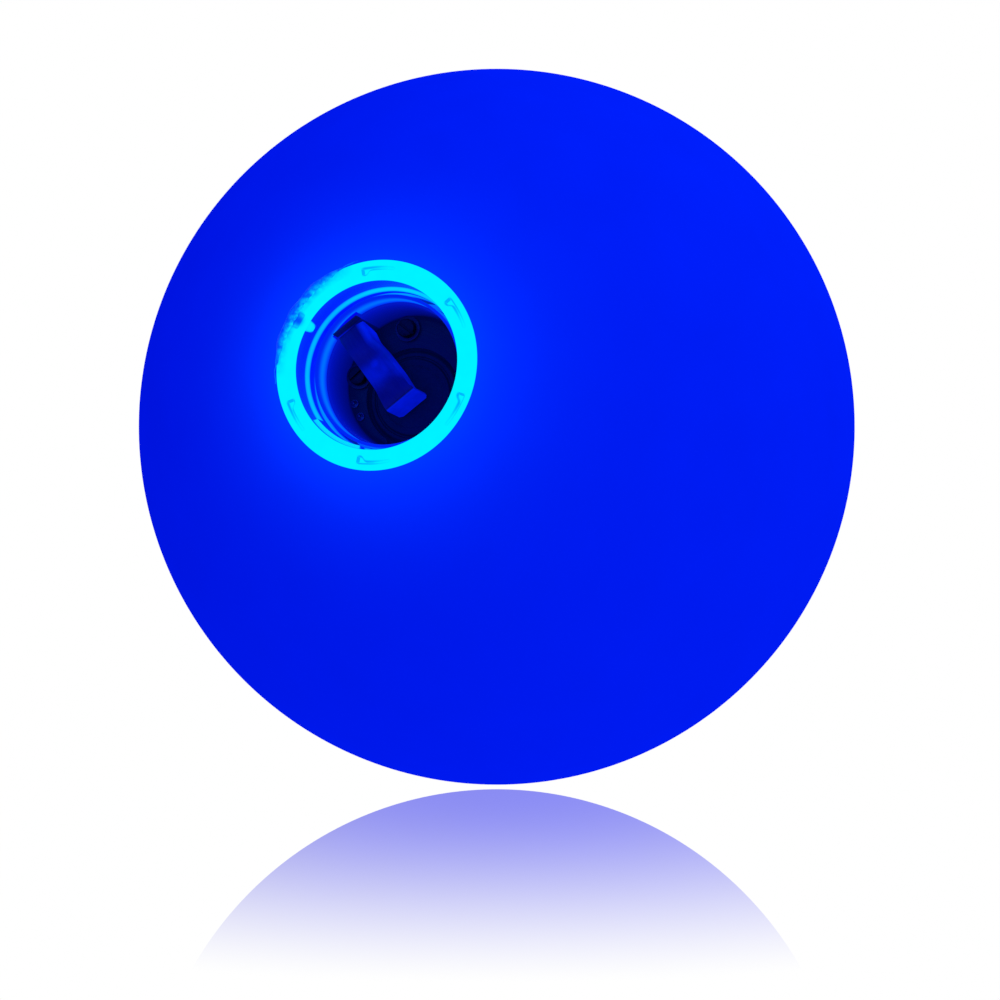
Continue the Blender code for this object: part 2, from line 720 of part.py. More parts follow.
def make_light_unit(materials, parent):
    """Board with four LEDs, a chip and a resistor, under a frosted dome."""
    board_top = height(LED_BOARD_DEPTH)
    board_low = board_top - BOARD_THICKNESS
    rod("led_board", LED_BOARD_RADIUS, board_low, board_top, 36, materials["board"], parent)
    under = board_low - SMALL_GAP
    for number in range(LED_COUNT):
        angle = pi / 4 + number * 2 * pi / LED_COUNT
        flange_low = under - LED_FLANGE_HEIGHT
        profile = [(0, under), (LED_FLANGE_RADIUS, under), (LED_FLANGE_RADIUS, flange_low)]
        profile.append((LED_RADIUS, flange_low))
        centre = under - LED_LENGTH + LED_RADIUS
        for step in range(4):
            turned = step * pi / 2 / 3
            profile.append((LED_RADIUS * cos(turned), centre - LED_RADIUS * sin(turned)))
        profile[-1] = (0, under - LED_LENGTH)
        led = turn(f"led_{number + 1}", profile, 14, materials["led"], parent)
        led.location = (*polar(LED_CIRCLE, angle), 0)
    chip_place = (BOARD_PART_OFFSET, 0, under - CHIP_SIZE[2] / 2)
    box("driver_chip", CHIP_SIZE, chip_place, materials["chip"], parent)
    resistor_place = (-BOARD_PART_OFFSET, 0, under - RESISTOR_SIZE[2] / 2)
    box("resistor", RESISTOR_SIZE, resistor_place, materials["resistor"], parent, bevel=RESISTOR_BEVEL)
    inner = DOME_RADIUS - DOME_WALL
    base = height(DOME_DEPTH)
    steps = 6
    angles = [step * pi / 2 / steps for step in range(steps + 1)]
    outside = [(DOME_RADIUS * cos(a), base - DOME_RADIUS * sin(a)) for a in angles]
    inside = [(inner * cos(a), base - inner * sin(a)) for a in reversed(angles)]
    outside[-1] = (0, base - DOME_RADIUS)
    inside[0] = (0, base - inner)
    turn("diffuser_dome", inside + outside, 32, materials["dome"], parent)


def make_contact_spring(materials, parent):
    """Flat conical spring between the inner cell and the LED board."""
    last_top = height(CELL_TOP_DEPTH + (CELL_COUNT - 1) * (CELL_HEIGHT + SMALL_GAP))
    wire = CONTACT_SPRING_WIRE
    high = last_top - CELL_HEIGHT - SMALL_GAP - wire
    low = height(LED_BOARD_DEPTH) + SMALL_GAP + wire
    count = int(CONTACT_SPRING_TURNS * 12)
    points = []
    for index in range(count + 1):
        part = index / count
        radius = CONTACT_SPRING_RADIUS * (1 - 0.45 * part)
        angle = 2 * pi * CONTACT_SPRING_TURNS * part
        x, y = CELL_CENTRE + polar(radius, angle)
        points.append((x, y, low + (high - low) * part))
    bent_wire("contact_spring", points, wire, materials["spring"], parent)


def make_impact_switch(materials, parent, pivot):
    """Fixed centre post and, round it, a soft coil spring whose free end sways when the ball is struck."""
    base = height(LED_BOARD_DEPTH) - BOARD_THICKNESS - SMALL_GAP
    end = base - IMPACT_SPRING_LENGTH
    rod("impact_post", IMPACT_POST_RADIUS, end, base, 10, materials["solder"], parent)
    steps_per_turn = 10
    count = IMPACT_SPRING_TURNS * steps_per_turn
    wire = IMPACT_SPRING_WIRE
    points = []
    for index in range(count + 1):
        x, y = polar(IMPACT_SPRING_RADIUS, 2 * pi * index / steps_per_turn)
        points.append((x, y, -wire - (IMPACT_SPRING_LENGTH - 2 * wire) * index / count))
    bent_wire("impact_spring", points, wire, materials["spring"], pivot, resolution=0)


def make_leads(materials, parent):
    """Two insulated leads from the contact board, past the tube, to the LED board."""
    top = height(CONTACT_BOARD_DEPTH) - BOARD_THICKNESS - SMALL_GAP
    low = height(LED_BOARD_DEPTH) + SMALL_GAP
    colours = {"positive": "red", "negative": "blue"}
    for name, angle in LEAD_ANGLES.items():
        points = []
        for step in range(5):
            part = step / 4
            x, y = polar(LEAD_CIRCLE + LEAD_BOW * sin(2 * pi * part), angle)
            points.append((x, y, top + (low - top) * part))
        bent_wire(f"lead_{name}", points, LEAD_RADIUS, materials[colours[name]], parent)


def build():
    clear_scene()
    materials = make_materials()
    port = add_empty("port_frame", None, rotation=(pi / 2 - PORT_TILT, 0, 0))
    module = add_empty("light_module", port)
    along = clip_direction()
    clip_pivot = add_empty(
        "clip_pivot",
        module,
        location=(*CLIP_ROOT, height(CLIP_DEPTH + CLIP_SHEET)),
        rotation=(0, 0, atan2(along.y, along.x)),
    )
    spring_height = height(LED_BOARD_DEPTH) - BOARD_THICKNESS - SMALL_GAP
    spring_pivot = add_empty("spring_pivot", module, location=(0, 0, spring_height))
    make_ball(materials, port)
    make_sleeve(materials, port)
    make_glue(materials, port)
    make_collar(materials, module)
    make_housing(materials, module)
    make_cells(materials, module)
    make_contact_board(materials, module)
    make_screws(materials, module)
    make_clip(materials, clip_pivot)
    make_contact_spring(materials, module)
    make_light_unit(materials, module)
    make_impact_switch(materials, module, spring_pivot)
    make_leads(materials, module)


build()
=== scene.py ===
"""Looks of a light-up croquet ball: a glowing cast ball, its threaded port and the light module inside it.

Pieces are modelled in the port's own frame, in metres: +Z runs out of the port along its bore and +X is
the model's +X. Depths are counted inwards from the flat face of the port's rim.
"""

import json
from math import asin, atan2, cos, pi, radians, sin

import bmesh
import bpy
from mathutils import Matrix, Vector, noise

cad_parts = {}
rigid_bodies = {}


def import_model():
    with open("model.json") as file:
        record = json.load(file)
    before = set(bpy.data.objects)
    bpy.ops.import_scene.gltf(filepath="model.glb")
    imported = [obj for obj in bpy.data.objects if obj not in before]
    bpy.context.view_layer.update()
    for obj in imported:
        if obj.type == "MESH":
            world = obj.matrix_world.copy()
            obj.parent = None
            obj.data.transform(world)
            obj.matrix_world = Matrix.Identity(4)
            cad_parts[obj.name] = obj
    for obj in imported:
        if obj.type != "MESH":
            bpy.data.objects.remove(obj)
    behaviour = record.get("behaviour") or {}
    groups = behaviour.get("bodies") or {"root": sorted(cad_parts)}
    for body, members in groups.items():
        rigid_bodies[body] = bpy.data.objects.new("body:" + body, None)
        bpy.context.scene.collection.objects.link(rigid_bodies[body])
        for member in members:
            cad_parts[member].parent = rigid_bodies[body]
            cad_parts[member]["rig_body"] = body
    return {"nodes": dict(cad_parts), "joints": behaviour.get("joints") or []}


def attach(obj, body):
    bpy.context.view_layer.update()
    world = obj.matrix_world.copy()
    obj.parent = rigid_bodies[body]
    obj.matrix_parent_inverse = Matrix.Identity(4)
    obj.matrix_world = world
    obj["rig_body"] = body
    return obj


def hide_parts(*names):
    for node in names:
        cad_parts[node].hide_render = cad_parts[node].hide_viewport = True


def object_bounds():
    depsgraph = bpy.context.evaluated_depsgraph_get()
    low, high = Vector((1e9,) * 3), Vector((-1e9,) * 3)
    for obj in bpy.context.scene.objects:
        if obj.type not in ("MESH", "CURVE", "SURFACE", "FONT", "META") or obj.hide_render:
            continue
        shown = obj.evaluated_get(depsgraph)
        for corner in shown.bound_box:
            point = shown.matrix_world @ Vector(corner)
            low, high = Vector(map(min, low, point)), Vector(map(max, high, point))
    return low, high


MM = 0.001
ROUND = 2 * pi
QUARTER = pi / 2
CENTRE = Vector((0, 0, 0))
WHITE = (1.0, 1.0, 1.0)

# Cast ball
SEAM = 0.02 * MM
MODULE_GAP = 0.2 * MM
HALO_ANGLE = radians(6.5)

# Threaded sleeve
SLEEVE_WALL_RADIUS = 11.6 * MM
SLEEVE_BORE = 10.2 * MM
SLEEVE_EDGE = 0.12 * MM
RIM_THICKNESS = 2.5 * MM
LEDGE_RADIUS = 8.7 * MM
LEDGE_THICKNESS = 1.0 * MM
BRIGHT_ANGLE = radians(65)
THREAD_HEIGHT = 0.47 * MM
THREAD_PITCH = 3.2 * MM
THREAD_TURNS = 1.7
THREAD_START_ANGLE = radians(275)
THREAD_START_DEPTH = 3.1 * MM
THREAD_ROOT_WIDTH = 1.9 * MM
THREAD_CREST_WIDTH = 1.1 * MM
THREAD_RUN_OUT = radians(6)
BLOCK_START = radians(222)
BLOCK_SWEEP = radians(40)
BLOCK_HEIGHT = 0.5 * MM
BLOCK_TOP_DEPTH = 0.8 * MM
BLOCK_LOW_DEPTH = 3.3 * MM
BLOCK_SOFTNESS = 0.35 * MM
BLOCK_END_SOFTNESS = radians(1.2)
RECESS_COUNT = 6
RECESS_FIRST_ANGLE = radians(34)
RECESS_SWEEP = radians(20)
RECESS_INNER = 11.05 * MM
RECESS_OUTER = 11.9 * MM
RECESS_DEPTH = 0.4 * MM
RECESS_SOFTNESS = 0.3 * MM
RECESS_END_SOFTNESS = radians(1.5)
TAIL_SHIFT = 0.25 * MM
TAIL_WIDTH_SHARE = 0.35
TAIL_DEPTH_SHARE = 0.25
GATE_RECESS = 3
GATE_ANGLE = radians(154)
GATE_SWEEP = radians(9)
GATE_INNER = 11.3 * MM
GATE_OUTER = 12.1 * MM
PIT_SHADE_RADIUS = 0.72 * MM
NUB_ANGLE = radians(154)
NUB_SWEEP = radians(8)
NUB_REACH = 0.8 * MM
NUB_HEIGHT = 0.9 * MM
NUB_TOP_DEPTH = 0.15 * MM
NUB_SOFTNESS = 0.4 * MM

# Dried glue over the joint between the rim and the ball
GLUE_START = radians(106)
GLUE_SWEEP = radians(86)
GLUE_INNER = 12.15 * MM
GLUE_OUTER = 13.25 * MM
GLUE_THICKNESS = 0.14 * MM
GLUE_LIFT = 0.012 * MM
GLUE_WANDER = 0.25 * MM
GLUE_LEAST_WIDTH = 0.15 * MM
GLUE_END_SHARE = 7 / 22

# Clear collar over the cup's rim
COLLAR_BORE = 8.93 * MM
COLLAR_TOP_DEPTH = 3.8 * MM
COLLAR_LOW_DEPTH = 6.92 * MM
COLLAR_NOTCH_DEPTH = 4.75 * MM
COLLAR_NOTCH_REACH = 3 * MM
# Level and width of the collar's band of painted glow
BAND_DEPTH = 5.4 * MM
BAND_WIDTH = 0.95 * MM

# Battery housing
CUP_RADIUS = 9.3 * MM
CUP_WALL = 0.65 * MM
CUP_EDGE = 0.22 * MM
CUP_RIM_DEPTH = 6.95 * MM
CUP_FLOOR_DEPTH = 13.0 * MM
CUP_FLOOR_THICKNESS = 1.0 * MM
TUBE_WALL = 0.5 * MM
TUBE_END_DEPTH = 29.5 * MM
POCKET_GAP = 0.2 * MM
BOSS_RADIUS = 1.5 * MM
BOSS_LENGTH = 2.6 * MM
SHANK_HOLE_RADIUS = 0.75 * MM
LEAD_SLOT_MARGIN = radians(7)
LEAD_SLOT_WIDTH = 1.1 * MM
NOTCH_GAP = 0.3 * MM

# Contact board
BOARD_DEPTH = 11.7 * MM
BOARD_THICKNESS = 1.0 * MM
BOARD_RADIUS = 8.0 * MM
BOARD_GATE = (8.0 * MM, 9.0 * MM)
BOARD_NOTCH_REACH = 2.0 * MM
OPENING_GAP = 0.05 * MM
TRACK_PITCH = 1.3 * MM

# Spring clip
CLIP_ROOT = Vector((-6.3 * MM, 5.3 * MM, 0))
CLIP_TIP = Vector((1.15 * MM, -3.2 * MM, 0))
CLIP_DEPTH = 6.3 * MM
CLIP_SHEET = 0.35 * MM
CLIP_LEG = 5.05 * MM
CLIP_LEG_INSET = 0.125 * MM
CLIP_BEND = 0.5 * MM
CLIP_CORNER = 0.35 * MM
CLIP_RELIEF = 0.75 * MM
CLIP_SLOPE_WIDTH = 1.3 * MM
CLIP_KINK_SOFTNESS = 0.35 * MM
CLIP_WELD = 5.3 * MM
CLIP_COLUMNS = {"flat": 8, "slope": 6, "flange": 8}
LUG_SIZE = (0.25 * MM, 3.7 * MM)
LUG_GAP = 0.3 * MM
LUG_TOP_DEPTH = 5.3 * MM
PAD_SIZE = (1.8 * MM, 1.0 * MM)
PAD_GAP = 0.3 * MM
CLIP_ALONG = (CLIP_TIP - CLIP_ROOT).normalized()
CLIP_LENGTH = (CLIP_TIP - CLIP_ROOT).length
CLIP_TURN = atan2(CLIP_ALONG.y, CLIP_ALONG.x)

# Distance along the clip, rise, half width on the right and on the left, drop of the sloped shoulder and
# depth of the flange, in millimetres
CLIP_STATIONS = (
    (0.0, 0.0, 1.6, 1.78, 0.7, 1.3),
    (0.3, 0.0, 1.8, 1.78, 0.8, 1.5),
    (0.8, 0.0, 1.8, 1.75, 0.8, 3.9),
    (2.6, 0.0, 1.8, 1.55, 0.8, 3.4),
    (4.8, -0.4, 1.85, 1.9, 0.6, 2.6),
    (8.2, 0.35, 1.7, 2.0, 0.5, 2.6),
    (CLIP_LENGTH / MM - 0.9, 0.1, 2.1, 1.95, 0.0, 2.2),
    (CLIP_LENGTH / MM, 0.0, 2.15, 2.15, 0.0, 2.1),
)

# Button cells: inset from the side and drop from the top, in millimetres, from the can's edge to the cap
CELL_CROWN = ((0, 0.6), (0.35, 0.25), (0.75, 0.25), (0.8, 0.4), (1, 0.4), (1.15, 0), (1.9, 0), (2.1, 0.06))
CELL_FOOT_INSET = 0.25 * MM
CELL_FOOT_HEIGHT = 0.3 * MM

# Screws, washers, solder and leads
SCREW_HANDS = ("left", "right")
SCREW_HEAD = 0.6 * MM
SCREW_SHANK = 0.55 * MM
SCREW_POINT = 0.9 * MM
SCREW_THREAD_HEIGHT = 0.09 * MM
SCREW_THREAD_TURNS = 8
SCREW_SLOT_WIDTH = 0.35 * MM
SCREW_SLOT_DEPTH = 0.35 * MM
SCREW_SLOT_TURN = radians(50)
WASHER_HOLE = 0.75 * MM
POLES = ("positive", "negative")
WIRE_END_RADIUS = 0.16 * MM
SOLDER_FOOT = 0.03 * MM
SOLDER_LUMPS = 0.09
LEAD_RADIUS = 0.35 * MM
LEAD_BOW = 0.15 * MM

# Light unit
LED_FLANGE_HEIGHT = 0.8 * MM
LED_FLANGE_RATIO = 1.12
LED_SPOT = 3.4 * MM
DOME_DEPTH = 31.1 * MM
DOME_WALL = 0.9 * MM

# Camera
CAMERA_AZIMUTH = radians(19.58)
CAMERA_ELEVATION = radians(5.765)
CAMERA_DISTANCE = 0.5
CAMERA_LENS = 139.49
CAMERA_SHIFT = (0.00325, -0.07325)

# Light from the camera's side, which fills the port
ROOM_COLOUR = (0.003, 0.009, 0.8)

# Floor
FLOOR_SIZE = 8.0
FLOOR_GAP = 1.17 * MM
FLOOR_HIDDEN_LIGHT = 0.04
MIRROR_SHARE = 0.743
MIRROR_REACH = 105 * MM
MIRROR_FALL = 1.35

# Softboxes: place, size and power
SOFTBOXES = {
    "top_softbox": ((0.0, 0.08, 0.6), 0.5, 1.6),
    "left_softbox": ((-0.6, 0.05, 0.3), 0.4, 1.2),
    "right_softbox": ((0.6, 0.05, 0.3), 0.4, 1.2),
}

# Metals: dark and light colour, size of the lines, their stretch and the range of roughness
METALS = {
    # The nickel strip's blue tint is painted light, the blue of the port's walls.
    "nickel_strip": ((0.06, 0.055, 0.1), (0.11, 0.1, 0.18), 0.35 * MM, (0.12, 1, 1), (0.4, 0.55)),
    # The cell steel is painted dark, as painted shade at the bottom of the port.
    "cell_steel": ((0.05, 0.05, 0.055), (0.09, 0.09, 0.1), 0.3 * MM, (1, 1, 0.2), (0.5, 0.65)),
    "blackened_steel": ((0.03, 0.03, 0.035), (0.09, 0.09, 0.1), 0.4 * MM, (1, 1, 1), (0.35, 0.55)),
    "zinc_washer": ((0.12, 0.12, 0.13), (0.22, 0.22, 0.24), 0.3 * MM, (1, 1, 1), (0.4, 0.55)),
    "bright_solder": ((0.26, 0.26, 0.28), (0.42, 0.42, 0.44), 0.5 * MM, (1, 1, 1), (0.4, 0.55)),
    "spring_wire": ((0.5, 0.48, 0.44), (0.75, 0.72, 0.66), 0.2 * MM, (1, 1, 1), (0.2, 0.36)),
}

# Light that the board and the cells catch at the bottom of the port
BAY_GLOW = (0.0, 0.0008, 0.02)

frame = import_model()
cad_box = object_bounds()
nodes = frame["nodes"]
axis_out = Vector(next(j["axis"] for j in frame["joints"] if j["name"] == "module_slide")).normalized()
side = Vector((1, 0, 0))
PORT = Matrix((side, axis_out.cross(side), axis_out)).transposed().to_4x4()
PORT_INVERSE = PORT.inverted()


class Extent:
    """Where a CAD node is in the port's frame: its middle, its radius round the middle and its levels."""

    def __init__(self, name):
        points = [PORT_INVERSE @ v.co for v in nodes[name].data.vertices]
        self.low, self.high = [pick(p.z for p in points) for pick in (min, max)]
        x, y = [(min(p[i] for p in points) + max(p[i] for p in points)) / 2 for i in (0, 1)]
        self.middle = Vector((x, y, 0))
        self.place = Matrix.Translation(self.middle)
        self.angle = atan2(self.middle.y, self.middle.x)
        self.radius = max((Vector((p.x, p.y, 0)) - self.middle).length for p in points)


BALL_RADIUS = (cad_box[1].z - cad_box[0].z) / 2
sleeve_extent = Extent("socket_sleeve")
RIM_RADIUS = sleeve_extent.radius
RIM_PLANE = sleeve_extent.high
SLEEVE_LENGTH = sleeve_extent.high - sleeve_extent.low
cell_extent = Extent("button_cell_1")
POCKET_RADIUS = cell_extent.radius + POCKET_GAP


def level(depth):
    """Height in the port's frame of a depth below the rim's face."""
    return RIM_PLANE - depth


def polar(radius, angle, height=0.0):
    return Vector((radius * cos(angle), radius * sin(angle), height))


def fractions(count):
    """Even steps from 0 to 1, both ends included."""
    return [index / count for index in range(count + 1)]


def smooth_step(value, low, high):
    """0 below low, 1 above high and an S-curve between them."""
    part = min(1.0, max(0.0, (value - low) / (high - low)))
    return part * part * (3 - 2 * part)


def plateau(value, half_width, softness):
    """1 within half_width of 0, falling smoothly to 0 over the softness round it."""
    return 1 - smooth_step(abs(value), half_width - softness / 2, half_width + softness / 2)


def angle_apart(a, b):
    """Signed angle from b to a, within half a turn."""
    return (a - b + pi) % ROUND - pi


# ---- Mesh tools ----


def smoothed(mesh, sharp):
    """The mesh, smooth but for the edges sharper than an angle in degrees."""
    mesh.shade_smooth()
    mesh.set_sharp_from_angle(angle=radians(sharp))
    return mesh


def finish_mesh(name, bm, sharp=35):
    bmesh.ops.recalc_face_normals(bm, faces=bm.faces[:])
    mesh = bpy.data.meshes.new(name)
    bm.to_mesh(mesh)
    bm.free()
    return smoothed(mesh, sharp)


def rounded(profile, radius, steps=4, closed=False):
    """The profile with its corners turned into short curves."""
    count = len(profile)
    result = []
    for index, corner in enumerate(profile):
        if not closed and index in (0, count - 1):
            result.append(corner)
            continue
        here = Vector(corner)
        before = Vector(profile[index - 1]) - here
        after = Vector(profile[(index + 1) % count]) - here
        if abs(before.normalized().dot(after.normalized())) > 0.995:
            result.append(corner)
            continue
        cut = min(radius, 0.45 * before.length, 0.45 * after.length)
        start = here + before.normalized() * cut
        end = here + after.normalized() * cut
        for t in fractions(steps):
            point = start * (1 - t) ** 2 + here * 2 * t * (1 - t) + end * t * t
            result.append((point.x, point.y))
    return result


def round_end(radius, height, rows):
    """Profile of a round end, from its widest level down to its pole."""
    turns = [part * QUARTER for part in fractions(rows)[:-1]]
    return [(radius * cos(turn), height - radius * sin(turn)) for turn in turns] + [(0, height - radius)]


def bridge(bm, rows, closed=False):
    """Faces between neighbouring rows of points. Closed rows are loops, and the two ends are capped."""
    for before, after in zip(rows, rows[1:]):
        for index in range(len(before) - (0 if closed else 1)):
            following = (index + 1) % len(before)
            bm.faces.new((before[index], before[following], after[following], after[index]))
    if closed:
        bm.faces.new(rows[0])
        bm.faces.new(rows[-1])


def turned(name, profile, segments=96, closed=False, move=None, sharp=35):
    """Turns a profile of (radius, height) points about Z. move(radius, height, angle) may shift a point."""
    bm = bmesh.new()
    rings = []
    for radius, height in profile:
        if radius < 1e-7:
            rings.append([bm.verts.new((0, 0, height))])
            continue
        ring = []
        for index in range(segments):
            angle = ROUND * index / segments
            r, z = move(radius, height, angle) if move else (radius, height)
            ring.append(bm.verts.new(polar(r, angle, z)))
        rings.append(ring)
    pairs = list(zip(rings, rings[1:]))
    if closed:
        pairs.append((rings[-1], rings[0]))
    for lower, upper in pairs:
        for index in range(segments):
            following = (index + 1) % segments
            corners = [lower[index % len(lower)], lower[following % len(lower)]]
            corners += [upper[following % len(upper)], upper[index % len(upper)]]
            bm.faces.new(list(dict.fromkeys(corners)))
    return finish_mesh(name, bm, sharp)


def tube_mesh(name, points, radius, sides=12):
    """A round wire along the points, as a mesh with closed ends."""
    curve = bpy.data.curves.new(name, "CURVE")
    curve.dimensions = "3D"
    curve.bevel_depth = radius
    curve.bevel_resolution = sides // 4
    curve.use_fill_caps = True
    spline = curve.splines.new("POLY")
    spline.points.add(len(points) - 1)
    for point, place in zip(spline.points, points):
        point.co = (*place, 1.0)
    holder = bpy.data.objects.new(name, curve)
    mesh = bpy.data.meshes.new_from_object(holder)
    bpy.data.objects.remove(holder)
    bm = bmesh.new()
    bm.from_mesh(mesh)
    bmesh.ops.remove_doubles(bm, verts=bm.verts[:], dist=radius / 50)
    return finish_mesh(name, bm, sharp=50)


def block_mesh(name, size, centre, angle=0.0, edge=0.08 * MM):
    """A box with rounded edges."""
    bm = bmesh.new()
    bmesh.ops.create_cube(bm, size=1.0)
    bmesh.ops.scale(bm, verts=bm.verts[:], vec=size)
    bmesh.ops.bevel(bm, geom=bm.edges[:], offset=edge, segments=3, profile=0.5, affect="EDGES")
    turn = Matrix.Translation(centre) @ Matrix.Rotation(angle, 4, "Z")
    bmesh.ops.transform(bm, matrix=turn, verts=bm.verts[:])
    return finish_mesh(name, bm)


def clip_block(name, near, far, width, low, high, edge=0.08 * MM):
    """A block along the clip, between two distances past the clip's root and two levels."""
    centre = CLIP_ROOT + CLIP_ALONG * (near + far) / 2 + Vector((0, 0, (low + high) / 2))
    return block_mesh(name, (far - near, width, high - low), centre, CLIP_TURN, edge)


def rod_mesh(name, radius, low, high, middle, edge=0.0, segments=72):
    profile = [(0, low), (radius, low), (radius, high), (0, high)]
    mesh = turned(name, rounded(profile, edge) if edge else profile, segments)
    mesh.transform(Matrix.Translation((middle.x, middle.y, 0)))
    return mesh


def band(inner, outer, low, high):
    """Outline of a ring with a rectangular section."""
    return [(inner, low), (outer, low), (outer, high), (inner, high)]


def join_fans(mesh):
    """Makes each end of a rod one face. The points of a fan lead to slivers in a Boolean."""
    bm = bmesh.new()
    bm.from_mesh(mesh)
    middles = [vert for vert in bm.verts if len(vert.link_edges) > 12]
    bmesh.ops.dissolve_verts(bm, verts=middles)
    bm.to_mesh(mesh)
    bm.free()


def new_object(name, data):
    item = bpy.data.objects.new(name, data)
    bpy.context.scene.collection.objects.link(item)
    return item


def applied(holder, sharp=35):
    """The holder's mesh with its modifiers applied. The holder itself is removed."""
    bpy.context.view_layer.update()
    evaluated = holder.evaluated_get(bpy.context.evaluated_depsgraph_get())
    mesh = bpy.data.meshes.new_from_object(evaluated)
    bpy.data.objects.remove(holder)
    return smoothed(mesh, sharp)


def combined(name, base, cutters, solids=()):
    """The base mesh joined with the solids and then cut with the cutters."""
    holder = new_object(name, base)
    steps = [("UNION", mesh) for mesh in solids] + [("DIFFERENCE", mesh) for mesh in cutters]
    tools = [new_object(f"{name}_tool", mesh) for _, mesh in steps]
    for (operation, _), tool in zip(steps, tools):
        modifier = holder.modifiers.new(operation, "BOOLEAN")
        modifier.operation = operation
        modifier.object = tool
    result = applied(holder)
    for tool in tools:
        bpy.data.objects.remove(tool)
    return result


def add_piece(name, mesh, look, node, place=Matrix()):
    """Adds a finished piece in the port's frame. It stands for a CAD node and rides on that node's body."""
    piece = new_object(name, mesh)
    mesh.materials.clear()
    mesh.materials.append(look)
    piece.matrix_world = PORT @ place
    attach(piece, nodes[node]["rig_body"])
    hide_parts(node)


# ---- Materials ----


class Graph:
    """A node tree under construction. Node values are sockets or plain numbers."""

    def __init__(self, tree):
        self.tree = tree

    def feed(self, socket, value):
        if isinstance(value, bpy.types.NodeSocket):
            self.tree.links.new(value, socket)
        else:
            socket.default_value = value

    def add(self, kind, *values, **settings):
        """The outputs of a new node. The values go to its first inputs."""
        node = self.tree.nodes.new(f"ShaderNode{kind}")
        for name, setting in settings.items():
            setattr(node, name, setting)
        for socket, value in zip(node.inputs, values):
            self.feed(socket, value)
        return node.outputs

    def math(self, operation, *values, clamp=False):
        return self.add("Math", *values, operation=operation, use_clamp=clamp)[0]

    def vector(self, operation, *values, output="Value"):
        return self.add("VectorMath", *values, operation=operation)[output]

    def product(self, first, *others):
        for other in others:
            first = self.math("MULTIPLY", first, other)
        return first

    def total(self, *terms):
        """The sum of (weight, value) pairs; a value may be 1."""
        result = 0.0
        for weight, value in terms:
            result = self.math("MULTIPLY_ADD", value, weight, result)
        return result

    def remap(self, value, low, high, new_low=0.0, new_high=1.0, **settings):
        return self.add("MapRange", value, low, high, new_low, new_high, **settings)[0]

    def blend(self, share, *colours):
        """A mix of two colours, each a socket or three numbers."""
        node = self.tree.nodes.new("ShaderNodeMix")
        node.data_type = "RGBA"
        self.feed(node.inputs[0], share)
        for socket, colour in zip(node.inputs[6:8], colours):
            self.feed(socket, (*colour, 1.0) if isinstance(colour, tuple) else colour)
        return node.outputs[2]


class Look(Graph):
    """A Principled material under construction."""

    def __init__(self, name, roughness=0.5, metallic=0.0, specular=0.5):
        self.material = bpy.data.materials.new(name)
        self.material.use_nodes = True
        super().__init__(self.material.node_tree)
        self.shader = self.tree.nodes["Principled BSDF"]
        self.place = self.add("TexCoord")["Object"]
        self.set("Roughness", roughness)
        self.set("Metallic", metallic)
        self.set("Specular IOR Level", specular)

    def set(self, name, value):
        self.feed(self.shader.inputs[name], value)

    def paint(self, share, dark, light):
        self.set("Base Color", self.blend(share, dark, light))

    def gloss(self, share, smooth, rough):
        """Roughness between two values, from the middle of a noise's range."""
        self.set("Roughness", self.remap(share, 0.3, 0.7, smooth, rough))

    def along(self, direction):
        """Distance from the origin, measured along a direction."""
        return self.vector("DOT_PRODUCT", self.place, direction)

    def depth(self):
        return self.math("SUBTRACT", RIM_PLANE, self.along((0, 0, 1)))

    def flat(self):
        """The place without its height."""
        return self.vector("MULTIPLY", self.place, (1, 1, 0), output="Vector")

    def flat_radius(self):
        return self.vector("LENGTH", self.flat())

    def towards(self, angle):
        """1 at places that lie in a direction from the port's axis, -1 on the other side."""
        return self.math("DIVIDE", self.along(polar(1.0, angle)), self.flat_radius())

    def facing(self):
        """How squarely a face looks out of the port: 1 on the rim, 0 on the bore."""
        normal = self.add("NewGeometry")["Normal"]
        return self.math("MAXIMUM", self.vector("DOT_PRODUCT", normal, axis_out), 0.0)

    def fading(self, distance, reach):
        """1 at no distance, falling exponentially."""
        return self.math("EXPONENT", self.math("DIVIDE", distance, -reach))

    def falling(self, distance, reach, power):
        """1 at no distance, one half at the reach."""
        part = self.math("POWER", self.math("DIVIDE", distance, reach), power)
        return self.math("DIVIDE", 1.0, self.math("ADD", part, 1.0))

    def bell(self, offset, width, power):
        """1 at no offset, falling on both sides; a higher power gives a flatter top."""
        part = self.math("ABSOLUTE", self.math("DIVIDE", offset, width))
        return self.math("EXPONENT", self.math("MULTIPLY", self.math("POWER", part, power), -1.0))

    def noise(self, size, detail=3.0, roughness=0.55, stretch=(1, 1, 1)):
        """Soft noise from 0 to 1 whose features are about size metres across."""
        place = self.vector("MULTIPLY", self.place, [s / size for s in stretch], output="Vector")
        fourth_axis, scale = 0.0, 1.0
        return self.add("TexNoise", place, fourth_axis, scale, detail, roughness)[0]

    def bump(self, height, depth):
        """Relief from a 0 to 1 height, depth metres deep."""
        node = self.tree.nodes.new("ShaderNodeBump")
        self.feed(node.inputs["Height"], height)
        self.feed(node.inputs["Distance"], depth)
        self.feed(node.inputs["Strength"], 1.0)
        previous = self.shader.inputs["Normal"].links
        if previous:
            self.feed(node.inputs["Normal"], previous[0].from_socket)
        self.set("Normal", node.outputs[0])

    def glow(self, red, green, blue):
        """Own light, in linear colour."""
        self.set("Emission Color", self.add("CombineColor", red, green, blue)[0])
        self.set("Emission Strength", 1.0)

    def finish(self, dark, light, sizes, rough, relief, gloss_detail=3.0):
        """Cloudy colour, uneven gloss and fine grain, each with its own size of noise."""
        cloud_size, gloss_size, grain_size = sizes
        self.paint(self.noise(cloud_size), dark, light)
        self.gloss(self.noise(gloss_size, gloss_detail), *rough)
        self.bump(self.noise(grain_size), relief)


